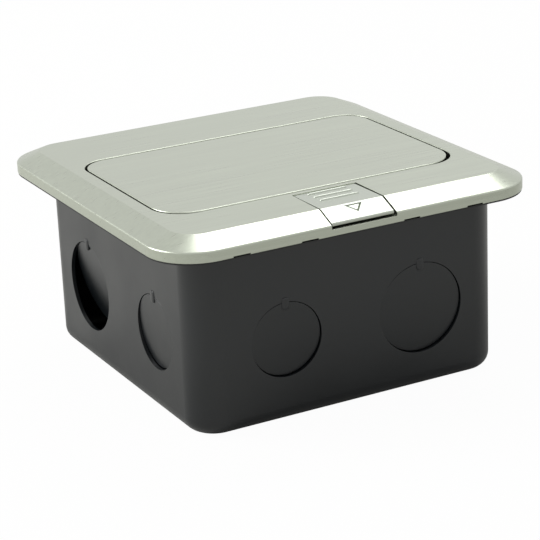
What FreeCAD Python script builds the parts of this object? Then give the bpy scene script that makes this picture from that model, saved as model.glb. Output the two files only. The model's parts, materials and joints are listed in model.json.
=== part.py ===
"""Pop-up floor socket box: a sprung lid with socket outlets over a deep-drawn steel back box.

Frame: origin at the centre of the box's underside, +Z up, the lid's latch on the -Y side, millimetres.
The lid is shut. It swings about the hinge axis, which lies along X under the lid's rear part.
"""
import FreeCAD, Part
import math
import os

os.makedirs("parts", exist_ok=True)
V = FreeCAD.Vector
X_AXIS = V(1, 0, 0)
Y_AXIS = V(0, 1, 0)
Z_AXIS = V(0, 0, 1)

# ---- fits -----------------------------------------------------------------------------------
RUN = 0.06            # radial clearance of a shaft that turns in a bore
THREAD = 0.03         # radial clearance drawn between a screw and its tapped hole
SLIDE = 0.10          # clearance under and beside a sliding piece
HAIR = 0.12           # hairline joint between two pieces that look flush
SEAT = 0.15           # clearance round a piece that snaps into a window
M3_CLEAR = 0.15       # radial clearance of an M3 screw in a plain hole
M2_CLEAR = 0.1        # the same for an M2 screw
TAP_END = 0.3         # a tapped hole runs on past its screw's end by this
OVER = 1.0            # a cutting form reaches this far past the face that it opens
LAP = 0.5             # a form that is joined to another starts this far inside it
TOUCH = 0.01          # the least overlap of two stacked cutting forms

# ---- whole product --------------------------------------------------------------------------
TOTAL_H = 61.5        # top of the cover plate above the box's underside
PLATE = 120.0         # side of the square cover plate
PLATE_R = 15.0        # corner radius of the plate in plan
BEVEL_W = 7.1         # width of the sloping border in plan
BEVEL_H = 3.0         # its drop
BEVEL_TOP_R = 8.0     # corner radius where the slope meets the flat top
RIM_H = 3.1           # upright edge below the slope
DECK_T = 2.6          # thickness of the flat top, of the plate and of the lid
RIM_T = 2.2           # thickness of the upright edge
RIM_EDGE_R = 0.5      # rounding between slope and upright edge
RIM_NOTCH_W = 5.2     # pry notches in the rim's lower edge
RIM_NOTCH_H = 0.45
RIM_NOTCH_LAP = 1.0   # they reach this far behind the rim
RIM_NOTCH_X = (-17.4, 15.4, 36.5, -38.5)

# ---- lid ------------------------------------------------------------------------------------
LID_W = 96.3
LID_FRONT = -34.9
LID_REAR = 27.0
LID_R = 8.0           # rear and front corner radii
LID_FRONT_R = 11.0
LID_GAP = 0.4         # gap between lid and plate
LID_EDGE_R = 0.35
UNDERCUT = 1.3        # the plate's opening widens downwards by this, for the lid's rear edge to swing
UNDERCUT_R = 7.0      # its corner radius on the plate's underside
HINGE_Y = 18.5
HINGE_DROP = 6.0      # hinge axis below the plate's top
LID_OPEN_DEG = 58.0

# ---- latch ----------------------------------------------------------------------------------
LATCH_W = 20.0
LATCH_GAP = 0.3
LATCH_BACK = 2.6      # the button's rear edge stands this far in front of the lid
LATCH_LIP = 0.8       # its front lip stands this far behind the plate's edge
LATCH_DEPTH = 3.5     # underside of the button below the plate's top
LATCH_DIP = 0.3       # the thumb rest falls this much towards its rear edge
LATCH_TRAVEL = 3.0
LATCH_RIM_GAP = 0.25  # between the button's lip and the rim below it
RIB_L = 12.7
RIB_W = 1.1
RIB_H = 0.45
RIB_PITCH = 3.5
RIB_COUNT = 3
RIB_FIRST = 1.6       # first rib, from the button's rear edge
ARROW_W = 5.9         # engraved triangle that points the way the button slides
ARROW_L = 3.6
ARROW_LINE = 0.45
ARROW_DEEP = 0.25
ARROW_IN = 0.5        # its base lies this far down the slope

# ---- inner frame ----------------------------------------------------------------------------
SEAL_H = 1.6          # lid seal between the lid and the frame
SEAL_PLAY = 0.1       # air over the seal
FRAME_T = 1.8
FRAME_R = 9.0
LEDGE_LAP = 2.8       # the side ledges reach this far inside the brackets
WELL_IN = 1.0         # front edge of the frame's opening, behind the lid's front edge
BRACKET_IN = 7.8      # room between the hinge brackets and the box's walls
BRACKET_T = 2.5
BRACKET_FRONT = -14.0  # front edge and lower edge of the brackets, from the hinge
BRACKET_LOW = -9.0
HUB_R = 3.1

# ---- back box -------------------------------------------------------------------------------
BOX_W = 100.0
BOX_D = 101.4
BOX_Y = -1.2          # the box's centre sits this far towards the latch
BOX_R = 9.5
BOX_FOOT_R = 4.5      # rounding between wall and floor
BOX_T = 1.2
KO_LARGE_R = 13.8
KO_SMALL_R = 11.2
KO_Z = 25.0           # height of the knockout centres
KO_SLIT = 0.3         # gap punched round each disc
KO_TIE_W = 3.0
KO_TIE_L = 5.0
KO_TIE_LOW = 3.1      # the tie reaches this far below the top of the hole
KO_TIE_PROUD = 0.35   # and stands this far out of the wall
HOLE_PITCH = 60.0     # screw holes in the floor
HOLE_R = 2.5
LUG_L = 7.4           # length of the welded lugs
LUG_T = 1.5
LUG_W = 12.0
FIX_IN = 4.8          # screws that hold the cover to the box, from the wall's inside
FIX_Y = (-22.5, -3.5)
FIX_R = 1.75
FIX_CLEAR = 0.3
FIX_HEAD_R = 2.8
FIX_HEAD_H = 1.3
FIX_L = 12.0

# ---- pop-up carrier and its sockets -----------------------------------------------------------
PANEL_IN = 5.9        # the carrier's circle about the hinge passes this far behind the lid's front
PANEL_HALF_DEG = 27.5  # the panel is a chord of that circle, and spans twice this
PANEL_T = 2.0
CHEEK_IN_GAP = 4.0    # room between the carrier's cheeks and the brackets
CHEEK_T = 2.0
WEB_T = 1.8
STOP_R = (41.0, 46.0)  # radial reach of the end-stop tabs
STOP_T = 3.2
PIN_R = 1.5
PIN_HEAD_R = 2.6
PIN_HEAD_T = 1.0
PIN_OUT = 1.9         # the pins and their rings take up this much outside the brackets
PIN_END = 0.4         # of which this much is air
PIN_POCKET = 0.6      # air round the rings in the frame's pockets
CLIP_W = 1.2          # retaining ring: width, thickness and mouth
CLIP_T = 0.6
CLIP_MOUTH = 1.2
CLIP_GAP = 0.1
PIN_ENTRY = 18.0      # the web is slotted from here outwards, to pass the pins
HUB_L = 4.5           # bearing length of the carrier's hubs
WEB_REAR = 7.0        # the carrier's web ends this far behind the hinge
CHEEK_TAIL = (9.0, -6.0)   # lower rear corner of the cheeks, from the hinge
CHEEK_DEG = 63.5      # the cheeks' lower front corner, measured down from the lid
LID_BOSS_IN = 5.3     # the lid's bosses, from the outside of the cheeks
LID_BOSS_Y = (-9.5, 12.5)
LID_BOSS_R = 3.0
LID_SCREW_IN = 2.8    # reach of the carrier's screws into the lid
PANEL_BOSS_R = 2.3
PANEL_BOSS_L = 8.0
PANEL_BOSS_IN = 2.2   # screws of the panel, from the inside of the cheeks
PANEL_SCREW_L = 5.0   # their reach into the carrier

# ---- screws and small hardware ------------------------------------------------------------------
M3_R = 1.45
M3_HEAD_R = 2.6
M3_HEAD_H = 1.6
M2_R = 0.95
M2_HEAD_R = 1.8
M2_HEAD_H = 1.1
FRAME_SCREW_L = 4.2
PLATE_BOSS_X = 40.0
PLATE_BOSS_Y = (-43.5, 40.0)
PLATE_BOSS_R = 3.2
GASKET_W = 5.0        # foam ring between the frame and the plate's rim
GASKET_GAP = 0.4      # air on both sides of it
GASKET_H = 1.6
SWING_GAP = 0.6       # air round the lid's tail as it swings down behind the hinge
LEDGE_TAIL = 2.5      # the side ledges end this far behind the hinge
LEDGE_STEP = 10.0     # and stand back to the brackets from this far in front of it
SEAL_OUT = 1.9        # reach of the seal outside and inside the lid's edge
SEAL_IN = 1.1
SEAL_END = 13.0       # the seal's two legs end here, in front of the hinge
KO_SMALL_X = 21.8
KO_LARGE_X = 22.5
KO_SIDE_LARGE = 21.2
KO_SIDE_SMALL = 24.6
KO_FRONT_BENDS = (3.0, 2.6)   # inward bend of each wall's small and large disc, in degrees
KO_REAR_BENDS = (2.0, 2.0)
KO_RIGHT_BENDS = (2.4, 2.4)
KO_BENT_SMALL = 6.5
KO_BENT = 14.0        # one disc stands bent well inwards
LUG_DROP = 7.0
EARTH_X = -30.0
EARTH_Y = 38.0
EARTH_R = 2.0
EARTH_BUSH_R = 3.6
EARTH_BUSH_H = 5.0
EARTH_BLIND = 0.8     # solid metal under the bush's tapped hole
EARTH_HEAD_R = 3.7
EARTH_HEAD_H = 2.2
EARTH_SCREW_L = 4.5
WASHER_R = 5.2
WASHER_H = 1.4
WASHER_WALL = 0.8
WASHER_T = 0.7

# ---- latch works ----------------------------------------------------------------------------------
LATCH_RAIL_X = 8.9    # rails under the button
LATCH_RAIL_T = 1.4
RAIL_FRONT = 8.0      # they stand back from the button's lip by this
RAIL_REAR = 0.5       # and from its rear edge
POST_X = 6.0
POST_W = 4.6
POST_L = 5.0
POST_GAP = 0.2        # air round the posts in the frame's slots
TRAVEL_GAP = 0.3      # air left in front of them at full travel
POST_TAP = 3.5        # depth of the screw holes in the posts
POST_BACK = 3.5       # the posts' middle, in front of the button's rear edge
HOOK_T = 1.2
HOOK_GAP = 0.2
HOOK_FRONT = 9.5      # the hook's front edge, in front of the lid's front edge
HOOK_REAR = 0.4       # its rear edge, in front of the same edge
HOOK_TIP = 3.7        # its tongue's tip, behind the same edge
HOOK_EASE = 0.7       # chamfer on the tongue
HOOK_HALF = 9.0
TONGUE_HALF = 4.0
TAB_DROP = 2.0        # the hook's tab ends this far below the spring
SPRING_WALL_Y = 13.0  # the frame's spring wall, in front of the lid's front edge
SPRING_WALL_T = 1.5
SPRING_WALL_HALF = 7.0
SPRING_WALL_DROP = 2.6
SPRING_DROP = 3.8     # the spring's axis below the frame
SPRING_PIP_R = 0.85
SPRING_PIP_L = 1.5
COIL_R = 1.4
COIL_WIRE_R = 0.22
COIL_TURNS = 8
STRIKE_T = 0.6
STRIKE_FRONT = 1.5    # the strike's foot, behind the lid's front edge
STRIKE_REAR = 5.3
STRIKE_LIP = 2.3      # and its lip
STRIKE_HALF = 11.0
STRIKE_WIDER = 1.0    # its leaf is wider than the hook's tongue by this on each side
STRIKE_GAP = 0.15     # between the strike's lip and the hook above it
STRIKE_SCREW_IN = 2.4
STRIKE_SCREW_L = 2.0
STRIKE_HEAD_R = 1.7
STRIKE_HEAD_H = 0.9
LATCH_SCREW_L = 4.2

# ---- lid springs and damper -----------------------------------------------------------------------
TORSION_R = 2.55
TORSION_WIRE_R = 0.4
TORSION_TURNS = 2.75
TORSION_PITCH = 0.85
TORSION_GAP = 0.55    # the coils' inner end, from the cheek
LEG_L = 12.0
ANCHOR_L = 8.0
PEG_R = 0.8           # pegs that the springs' legs bear on
PEG_L = 1.8
PEG_DROP = -4.5       # height of the bracket's peg below the coil
CHEEK_PEG_R = 1.0
CHEEK_PEG_L = 1.0
CHEEK_PEG_IN = 2.0    # the cheek's peg, from the leg's end
TOOTH_MODULE = 0.8
GEAR_TEETH = 12
RACK_TEETH = 48       # teeth of the full circle that the rack is cut from
RACK_CUT = 10         # teeth that it has
RACK_T = 3.0
RACK_WEB_T = 1.1
RACK_IN_R = 6.0
RACK_BAND = 3.4       # thick band behind the rack's teeth
RACK_WEB_IN = 2.2     # the thin web starts this far inside the pitch circle
RACK_WEB_DEG = (8.0, 14.0)   # and runs on past the teeth by these, outside and inside
TOOTH_THIN = 0.09     # thinning of each half tooth, for backlash
TOOTH_ROOT = (-0.95, 0.30)   # depth and half width of a tooth's root, against the module
TOOTH_TIP = (0.7, -0.24)
DAMPER_DEG = 66.0     # direction of the damper from the hinge, measured down from the lid
DAMPER_R = 6.5
DAMPER_L = 4.7
DAMPER_EAR = 9.2
DAMPER_EAR_R = 2.4
DAMPER_EAR_T = 1.2
DAMPER_SCREW_L = 3.5
EAR_R = 2.6
GEAR_SHAFT_R = 1.6
GEAR_SHAFT_L = 6.2
GEAR_SHAFT_GAP = 0.6  # air round the shaft where it passes the bracket
GEAR_GAP = 0.3        # between the cheek and the gear
RACK_SCREWS = ((14.0, 67.5), (8.5, 76.0))   # distance from the hinge, and angle
RACK_HEAD_H = 0.8
STOP_SIDE_GAP = 0.3   # between the end stops and the brackets
STOP_GAP = 0.05

# ---- sockets --------------------------------------------------------------------------------------
PANEL_SIDE = 0.2      # the panel stands this far inside the cheeks' outer faces
PANEL_TOP = 0.1       # and this far under the lid
PANEL_LAP = 0.02      # and this far outside the carrier's circle
PANEL_SCREW_Z = (17.3, -19.6)
MAINS_Z = -1.0
MAINS_HALF = 14.8     # half side of the mains module's face
MAINS_BODY = 1.5      # its body is this much larger all round
MAINS_DEPTH = 20.6
MAINS_ROOF = 2.8      # its sloping top stays this far under the hinge's level plane
FACE_PROUD = 0.4
WALL = 1.5
MODULE_SIDE = (3.5, 2.2)   # room beside the mains module and beside the outer data jack
JACK_PITCH = 15.6
JACK_HALF = 6.6
JACK_HALF_H = 7.6
JACK_DEPTH = 20.0
PORT_HALF = 5.9
PORT_LOW = -4.2
PORT_HIGH = 3.6
KEY_HALF = 3.1
KEY_H = 2.0
KEY_SHORT = 3.0       # the key way ends this far before the port
PORT_DEPTH = 14.4
JACK_STEP = 4.0       # step in the jack's top at its rear end
JACK_STEP_Z = 3.5
JACK_CLIP = (0.6, 2.5, 3.0)  # snap clips: reach past the sides, length, half height
WIRES = 8
WIRE_PITCH = 1.02
WIRE_T = 0.35
WIRE_FRONT = 2.5      # the wires rise from here to this height above the port's floor
WIRE_RISE = 3.4
PIN_PAIR = 6.35       # half spacing of the two-pole slots
COVER_T = 1.5
COVER_INSET = 0.6     # the rear cover lies this far inside the cheeks' lower edges
COVER_CORNER = 1.0    # its corner and its upper end, from the cheeks' corners
COVER_END = 2.0
COVER_FRONT = (0.4, 53.0)    # its front end: inside the carrier's circle, degrees from the lid
COVER_SCREW = 9.0     # screws of the rear cover, from its upper end
COVER_SCREW_IN = 2.4  # and from the inside of the cheeks
COVER_SCREW_L = 4.0
COVER_BOSS_R = 2.6
COVER_BOSS_L = 6.0
COVER_MOUTH = 26.0    # top of the cable mouth, from the same end
MOUTH_HALF = 8.0
MOUTH_H = 10.0
CLAMP_X = 12.0
CLAMP_DROP = 17.5
CLAMP_T = 3.0
CLAMP_HALF_H = 2.8
CLAMP_END = 3.0
CLAMP_GRIP_R = 6.0
CLAMP_GRIP_Y = -4.2
CLAMP_BOSS_L = 2.5
CLAMP_SCREW_L = 2.0
SLOT_W = 2.0
SLOT_H = 7.4
EARTH_SLOT_Z = -1.5   # slots of the two- and three-pole outlets, from the face's centre
PAIR_SLOT_Z = 7.0
SLANT_SLOT_Z = -9.0
SLANT_DEG = 30.0
CONTACT_T = 0.8
CONTACT_W = 4.0
BLADE_T = 0.5
BLADE_GAP = 1.5
BLADE_HALF = 2.0
BLADE_L = 7.6
TERMINAL_D = 10.4     # depth of the terminal blocks
TERMINAL_W = 4.8
TERMINAL_WINDOW = 0.3  # air round the screw heads in the module's back
TERMINAL_Z = -12.5    # their height on the module, from the hinge's level
TERMINAL_HALF = 2.6
TERMINAL_SCREW_L = 6.0

# ---- levels and derived sizes -----------------------------------------------------------------
HALF = PLATE / 2
FLAT_HALF = HALF - BEVEL_W
Z_BEVEL = TOTAL_H - BEVEL_H
Z_RIM = Z_BEVEL - RIM_H
Z_DECK = TOTAL_H - DECK_T
Z_FRAME = Z_DECK - SEAL_H - SEAL_PLAY
Z_FRAME_LOW = Z_FRAME - FRAME_T
HINGE_Z = TOTAL_H - HINGE_DROP
LID_HALF = LID_W / 2
FRAME_HALF = HALF - RIM_T - GASKET_W - 2 * GASKET_GAP
WELL_FRONT = LID_FRONT + WELL_IN
BOX_H = Z_RIM
BOX_IN = BOX_W / 2 - BOX_T               # inside of the box's side walls
FIX_X = BOX_IN - FIX_IN
BRACKET_X = BOX_IN - BRACKET_IN          # inner face of the hinge brackets
BRACKET_OUT = BRACKET_X + BRACKET_T
LEDGE_X = BRACKET_X - LEDGE_LAP
STOP_X = BRACKET_X - STOP_SIDE_GAP
CHEEK_X = BRACKET_X - CHEEK_IN_GAP       # outer face of the carrier's cheeks
CHEEK_IN = CHEEK_X - CHEEK_T
LID_BOSS_X = CHEEK_X - LID_BOSS_IN
COVER_SCREW_X = CHEEK_IN - COVER_SCREW_IN
MAINS_X = MODULE_SIDE[0] + MAINS_HALF + MAINS_BODY - CHEEK_IN
JACK_OUTER_X = CHEEK_IN - MODULE_SIDE[1] - JACK_HALF
JACK_X = (JACK_OUTER_X - JACK_PITCH, JACK_OUTER_X)
LATCH_Z = TOTAL_H - LATCH_DEPTH
LATCH_REAR = LID_FRONT - LATCH_BACK
LATCH_FRONT = LATCH_LIP - HALF
POST_Y = LATCH_REAR - POST_BACK
HOOK_Z = Z_FRAME_LOW - HOOK_GAP
HOOK_BACK = LID_FRONT - HOOK_REAR
SPRING_Z = Z_FRAME_LOW - SPRING_DROP
SPRING_SEAT = LID_FRONT - SPRING_WALL_Y
GEAR_R = TOOTH_MODULE * GEAR_TEETH / 2
RACK_R = TOOTH_MODULE * RACK_TEETH / 2
LID_RISE = Z_DECK - HINGE_Z              # the lid's underside above the hinge axis
PANEL_R = HINGE_Y - LID_FRONT - PANEL_IN
PANEL_TILT = PANEL_HALF_DEG - math.degrees(math.asin(LID_RISE / PANEL_R))
PANEL_Y = -PANEL_R * math.cos(math.radians(PANEL_HALF_DEG))
PANEL_BACK = PANEL_Y + PANEL_T
WEB_TOP = Z_FRAME - HINGE_Z
WEB_LOW = WEB_TOP - WEB_T


def block(x0, x1, y0, y1, z0, z1):
    return Part.makeBox(x1 - x0, y1 - y0, z1 - z0, V(x0, y0, z0))


def rod(x, y, z, r, length, axis=Z_AXIS):
    return Part.makeCylinder(r, length, V(x, y, z), axis)


def yz_prism(points, x0, x1):
    """Solid of a polygon in the YZ plane, from x0 to x1."""
    corners = [V(x0, y, z) for y, z in points]
    return Part.Face(Part.makePolygon(corners + corners[:1])).extrude(V(x1 - x0, 0, 0))


def round_wire(hx, y0, y1, r, z, front_r=0):
    """Outline of a rectangle from y0 to y1, centred on x = 0: corner radius r, or front_r at the front."""
    f = front_r or r
    corners = ((hx - r, y1 - r, r), (r - hx, y1 - r, r), (f - hx, y0 + f, f), (hx - f, y0 + f, f))
    rims = []
    for quarter, (cx, cy, corner_r) in enumerate(corners):
        turns = [math.radians(90 * quarter + step) for step in (0, 45, 90)]
        rims.append([V(cx + corner_r * math.cos(a), cy + corner_r * math.sin(a), z) for a in turns])
    edges = []
    for rim, following in zip(rims, rims[1:] + rims[:1]):
        edges.append(Part.Arc(*rim).toShape())
        edges.append(Part.makeLine(rim[2], following[0]))
    return Part.Wire(edges)


def round_prism(hx, y0, y1, r, z0, z1, front_r=0):
    return Part.Face(round_wire(hx, y0, y1, r, z0, front_r)).extrude(V(0, 0, z1 - z0))


def square_wire(half, r, z):
    return round_wire(half, -half, half, r, z)


def loft(*wires):
    return Part.makeLoft(list(wires), True, True)


def edges_at(shape, z):
    """Edges that lie wholly in the level plane at z."""
    return [e for e in shape.Edges if abs(e.BoundBox.ZMin - z) < 1e-4 and abs(e.BoundBox.ZMax - z) < 1e-4]


def mirrored(shape):
    """The shape and its twin on the other side of the plane x = 0."""
    return [shape, shape.mirror(V(0, 0, 0), X_AXIS)]


def turned(shape, degrees, centre=V(0, 0, 0), axis=X_AXIS):
    copy = shape.copy()
    copy.rotate(centre, axis, degrees)
    return copy


def moved(shape, x, y, z):
    copy = shape.copy()
    copy.translate(V(x, y, z))
    return copy


def screw(head_r, head_h, shank_r, length):
    """Cross-recessed screw along -Z, its head standing on the plane z = 0."""
    slot_w = head_r * 0.28
    slot_l = head_r * 1.1
    body = rod(0, 0, 0, head_r, head_h).fuse(rod(0, 0, -length, shank_r, length))
    body = body.removeSplitter()
    body = body.makeFillet(head_h * 0.35, edges_at(body, head_h))
    for angle in (0, 90):
        slot = block(-slot_l / 2, slot_l / 2, -slot_w / 2, slot_w / 2, head_h * 0.4, head_h + 1)
        body = body.cut(turned(slot, angle, axis=Z_AXIS))
    return body


def upturned(shape):
    """A screw turned over, so that it is driven upwards from below."""
    return turned(shape, 180)


def group(shapes):
    return Part.makeCompound(shapes)


# ---- cover plate ------------------------------------------------------------------------------
def plate_blank():
    """Square plate with a sloping border and an upright rim, hollow underneath."""
    outer = loft(square_wire(HALF, PLATE_R, Z_BEVEL), square_wire(FLAT_HALF, BEVEL_TOP_R, TOTAL_H))
    outer = outer.fuse(round_prism(HALF, -HALF, HALF, PLATE_R, Z_RIM, Z_BEVEL)).removeSplitter()
    outer = outer.makeFillet(RIM_EDGE_R, edges_at(outer, Z_BEVEL))
    slope = BEVEL_H / BEVEL_W
    wall_drop = RIM_T * math.hypot(1, slope)
    rim_in = HALF - RIM_T
    z_in = Z_BEVEL + RIM_T * slope - wall_drop
    flat_in = HALF - (Z_DECK - Z_BEVEL + wall_drop) / slope
    low_r = PLATE_R - RIM_T
    hollow = loft(square_wire(rim_in, low_r, z_in), square_wire(flat_in, BEVEL_TOP_R, Z_DECK))
    hollow = hollow.fuse(round_prism(rim_in, -rim_in, rim_in, low_r, Z_RIM - OVER, z_in))
    return outer.cut(hollow)


def lid_opening():
    """Opening for the lid, widening downwards so that the lid's rear edge can swing back."""
    hx = LID_HALF + LID_GAP
    y0 = LID_FRONT - LID_GAP
    y1 = LID_REAR + LID_GAP
    r = LID_R + LID_GAP
    front_r = LID_FRONT_R + LID_GAP
    top = round_wire(hx, y0, y1, r, TOTAL_H, front_r)
    low = round_wire(hx + UNDERCUT, y0 - UNDERCUT, y1 + UNDERCUT, UNDERCUT_R, Z_DECK, front_r)
    return loft(low, top).fuse(round_prism(hx, y0, y1, r, TOTAL_H - TOUCH, TOTAL_H + OVER, front_r))


def boss_places():
    return [(sx * PLATE_BOSS_X, y) for sx in (-1, 1) for y in PLATE_BOSS_Y]


def cover_plate():
    plate = plate_blank()
    for x, y in boss_places():
        plate = plate.fuse(rod(x, y, Z_FRAME, PLATE_BOSS_R, Z_DECK - Z_FRAME + LAP))
    plate = plate.cut(lid_opening())
    side = LATCH_W / 2 + LATCH_GAP
    plate = plate.cut(block(-side, side, -HALF - OVER, LATCH_REAR + HAIR, LATCH_Z - LATCH_RIM_GAP, TOTAL_H + OVER))
    behind = RIM_T + RIM_NOTCH_LAP - HALF
    for x in RIM_NOTCH_X:
        half = RIM_NOTCH_W / 2
        plate = plate.cut(block(x - half, x + half, -HALF - OVER, behind, Z_RIM - OVER, Z_RIM + RIM_NOTCH_H))
    for x, y in boss_places():
        plate = plate.cut(rod(x, y, Z_FRAME - OVER, M3_R + THREAD, FRAME_SCREW_L - FRAME_T + TAP_END + OVER))
    return plate


def frame_screws():
    one = upturned(screw(M3_HEAD_R, M3_HEAD_H, M3_R, FRAME_SCREW_L))
    return group([moved(one, x, y, Z_FRAME_LOW) for x, y in boss_places()])


def floor_gasket():
    """Foam ring in the plate's hollow, between the rim and the inner frame."""
    outer = HALF - RIM_T - GASKET_GAP
    inner = FRAME_HALF + GASKET_GAP
    ring = round_prism(outer, -outer, outer, PLATE_R - RIM_T - GASKET_GAP, Z_RIM, Z_RIM + GASKET_H)
    return ring.cut(round_prism(inner, -inner, inner, FRAME_R + GASKET_GAP, Z_RIM - OVER, Z_RIM + GASKET_H + OVER))


# ---- inner frame --------------------------------------------------------------------------------
def frame_opening():
    """Well for the pop-up carrier, wider behind the hinge, where the lid's tail swings down."""
    low = Z_FRAME_LOW - OVER
    high = Z_FRAME + OVER
    rear = HINGE_Y + math.hypot(LID_REAR - HINGE_Y, HINGE_DROP) + SWING_GAP
    tail = LID_HALF + SWING_GAP
    well = block(-LEDGE_X, LEDGE_X, WELL_FRONT, HINGE_Y, low, high)
    well = well.fuse(block(-BRACKET_X, BRACKET_X, HINGE_Y - LEDGE_STEP, rear, low, high))
    return well.fuse(block(-tail, tail, HINGE_Y + LEDGE_TAIL, rear, low, high))


def damper_centre():
    """Height and depth of the damper's axis, from the hinge."""
    a = math.radians(DAMPER_DEG)
    c = RACK_R + GEAR_R
    return -c * math.cos(a), -c * math.sin(a)


def hinge_bracket(with_damper):
    """Wall under the ledge that carries the hinge pin, on the +X side."""
    root = Z_FRAME_LOW - HINGE_Z
    rear = LEDGE_TAIL
    outline = [(BRACKET_FRONT, root), (rear, root), (rear, BRACKET_LOW), (BRACKET_FRONT, BRACKET_LOW)]
    wall = yz_prism(outline, BRACKET_X, BRACKET_OUT)
    wall = wall.fuse(rod(BRACKET_X, 0, 0, HUB_R, BRACKET_T, X_AXIS))
    peg_y = TORSION_WIRE_R + PEG_R + STOP_GAP - TORSION_R
    wall = wall.fuse(rod(BRACKET_X - PEG_L, peg_y, PEG_DROP - TORSION_R, PEG_R, PEG_L + LAP, X_AXIS))
    if with_damper:
        dy, dz = damper_centre()
        ear = DAMPER_EAR + EAR_R
        hanger = [(dy - ear, dz - EAR_R), (dy + ear, dz - EAR_R), (dy + ear, dz), (rear, BRACKET_LOW),
                  (BRACKET_FRONT, BRACKET_LOW), (dy - ear, dz)]
        wall = wall.fuse([yz_prism(hanger, BRACKET_X, BRACKET_OUT),
                          rod(BRACKET_X, dy, dz, DAMPER_R, BRACKET_T, X_AXIS)])
        through = BRACKET_T + 2 * OVER
        wall = wall.cut(rod(BRACKET_X - OVER, dy, dz, GEAR_SHAFT_R + GEAR_SHAFT_GAP, through, X_AXIS))
        for side in (-1, 1):
            wall = wall.cut(rod(BRACKET_X - OVER, dy + side * DAMPER_EAR, dz, M2_R + THREAD, through, X_AXIS))
    return moved(wall, 0, HINGE_Y, HINGE_Z)


def inner_frame():
    frame = round_prism(FRAME_HALF, -FRAME_HALF, FRAME_HALF, FRAME_R, Z_FRAME_LOW, Z_FRAME).cut(frame_opening())
    left = hinge_bracket(False).mirror(V(0, 0, 0), X_AXIS)
    rails = [block(sx * LATCH_RAIL_X - LATCH_RAIL_T / 2, sx * LATCH_RAIL_X + LATCH_RAIL_T / 2,
                   LATCH_FRONT + RAIL_FRONT, LATCH_REAR - RAIL_REAR, Z_FRAME - LAP, LATCH_Z - SLIDE)
             for sx in (-1, 1)]
    stop = block(-SPRING_WALL_HALF, SPRING_WALL_HALF, SPRING_SEAT - SPRING_WALL_T, SPRING_SEAT,
                 SPRING_Z - SPRING_WALL_DROP, Z_FRAME_LOW + LAP)
    pip = rod(0, SPRING_SEAT - LAP, SPRING_Z, SPRING_PIP_R, SPRING_PIP_L + LAP, Y_AXIS)
    frame = frame.fuse([hinge_bracket(True), left, stop, pip] + rails)
    low = Z_FRAME_LOW - OVER
    high = Z_FRAME + OVER
    for sx in (-1, 1):
        x = sx * POST_X
        half = POST_W / 2 + POST_GAP
        rear = POST_Y + POST_L / 2 + POST_GAP
        front = POST_Y - POST_L / 2 - LATCH_TRAVEL - TRAVEL_GAP
        frame = frame.cut(block(x - half, x + half, front, rear, low, high))
        for y in FIX_Y:
            frame = frame.cut(rod(sx * FIX_X, y, low, FIX_R + FIX_CLEAR, high - low))
        pocket = PIN_HEAD_R + PIN_POCKET
        outside = block(BRACKET_OUT, BRACKET_OUT + PIN_OUT, HINGE_Y - pocket, HINGE_Y + pocket, low, high)
        frame = frame.cut(outside if sx > 0 else outside.mirror(V(0, 0, 0), X_AXIS))
    frame = frame.cut(rod(-FRAME_HALF, HINGE_Y, HINGE_Z, PIN_R, 2 * FRAME_HALF, X_AXIS))
    for x, y in boss_places():
        frame = frame.cut(rod(x, y, low, M3_R + M3_CLEAR, high - low))
    return frame


def lid_seal():
    """Rubber strip under the lid's gap: round the front and along both sides, up to the hinge."""
    def strip(reach, z0, z1):
        half = LID_HALF + reach
        return round_prism(half, LID_FRONT - reach, LID_REAR, LID_R, z0, z1, LID_FRONT_R + reach)
    ring = strip(SEAL_OUT, Z_FRAME, Z_FRAME + SEAL_H).cut(strip(-SEAL_IN, Z_FRAME - OVER, Z_FRAME + SEAL_H + OVER))
    return ring.common(block(-HALF, HALF, -HALF, SEAL_END, Z_FRAME, Z_FRAME + SEAL_H))


# ---- back box -------------------------------------------------------------------------------------
def tub(inset, z0, z1):
    """Round-cornered drawn form with a rounded foot, taken in by inset."""
    half_y = BOX_D / 2 - inset
    form = round_prism(BOX_W / 2 - inset, BOX_Y - half_y, BOX_Y + half_y, BOX_R - inset, z0, z1)
    return form.makeFillet(BOX_FOOT_R - inset, edges_at(form, z0))


def knockout_tools(r, bend):
    """Hole and tied disc of one knockout, in a wall whose outside is the plane y = 0 and faces -Y.

    The disc hangs from a short pressed tie at its top and is bent inwards about it.
    """
    hole = rod(0, -OVER, 0, r, BOX_T + 2 * OVER, Y_AXIS)
    disc = turned(rod(0, 0, 0, r - KO_SLIT, BOX_T, Y_AXIS), bend, V(0, 0, r))
    rib_r = KO_TIE_W / 2
    tie = rod(0, rib_r - KO_TIE_PROUD, r - KO_TIE_LOW, rib_r, KO_TIE_L)
    tie = tie.common(block(-rib_r, rib_r, -rib_r, BOX_T, r - KO_TIE_L, r + KO_TIE_L))
    return hole, disc.fuse(tie)


def knockouts():
    """Where each knockout stands: wall's turn about Z, its distance, place along it, radius, bend."""
    places = []
    for turn, distance, small, large, bends in (
            (0, BOX_D / 2, -KO_SMALL_X, KO_LARGE_X, KO_FRONT_BENDS),
            (90, BOX_W / 2, KO_SIDE_SMALL, -KO_SIDE_LARGE, KO_RIGHT_BENDS),
            (180, BOX_D / 2, -KO_SMALL_X, KO_LARGE_X, KO_REAR_BENDS),
            (270, BOX_W / 2, KO_SIDE_SMALL, -KO_SIDE_LARGE, (KO_BENT_SMALL, KO_BENT))):
        places.append((turn, distance, small, KO_SMALL_R, bends[0]))
        places.append((turn, distance, large, KO_LARGE_R, bends[1]))
    return places


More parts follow.
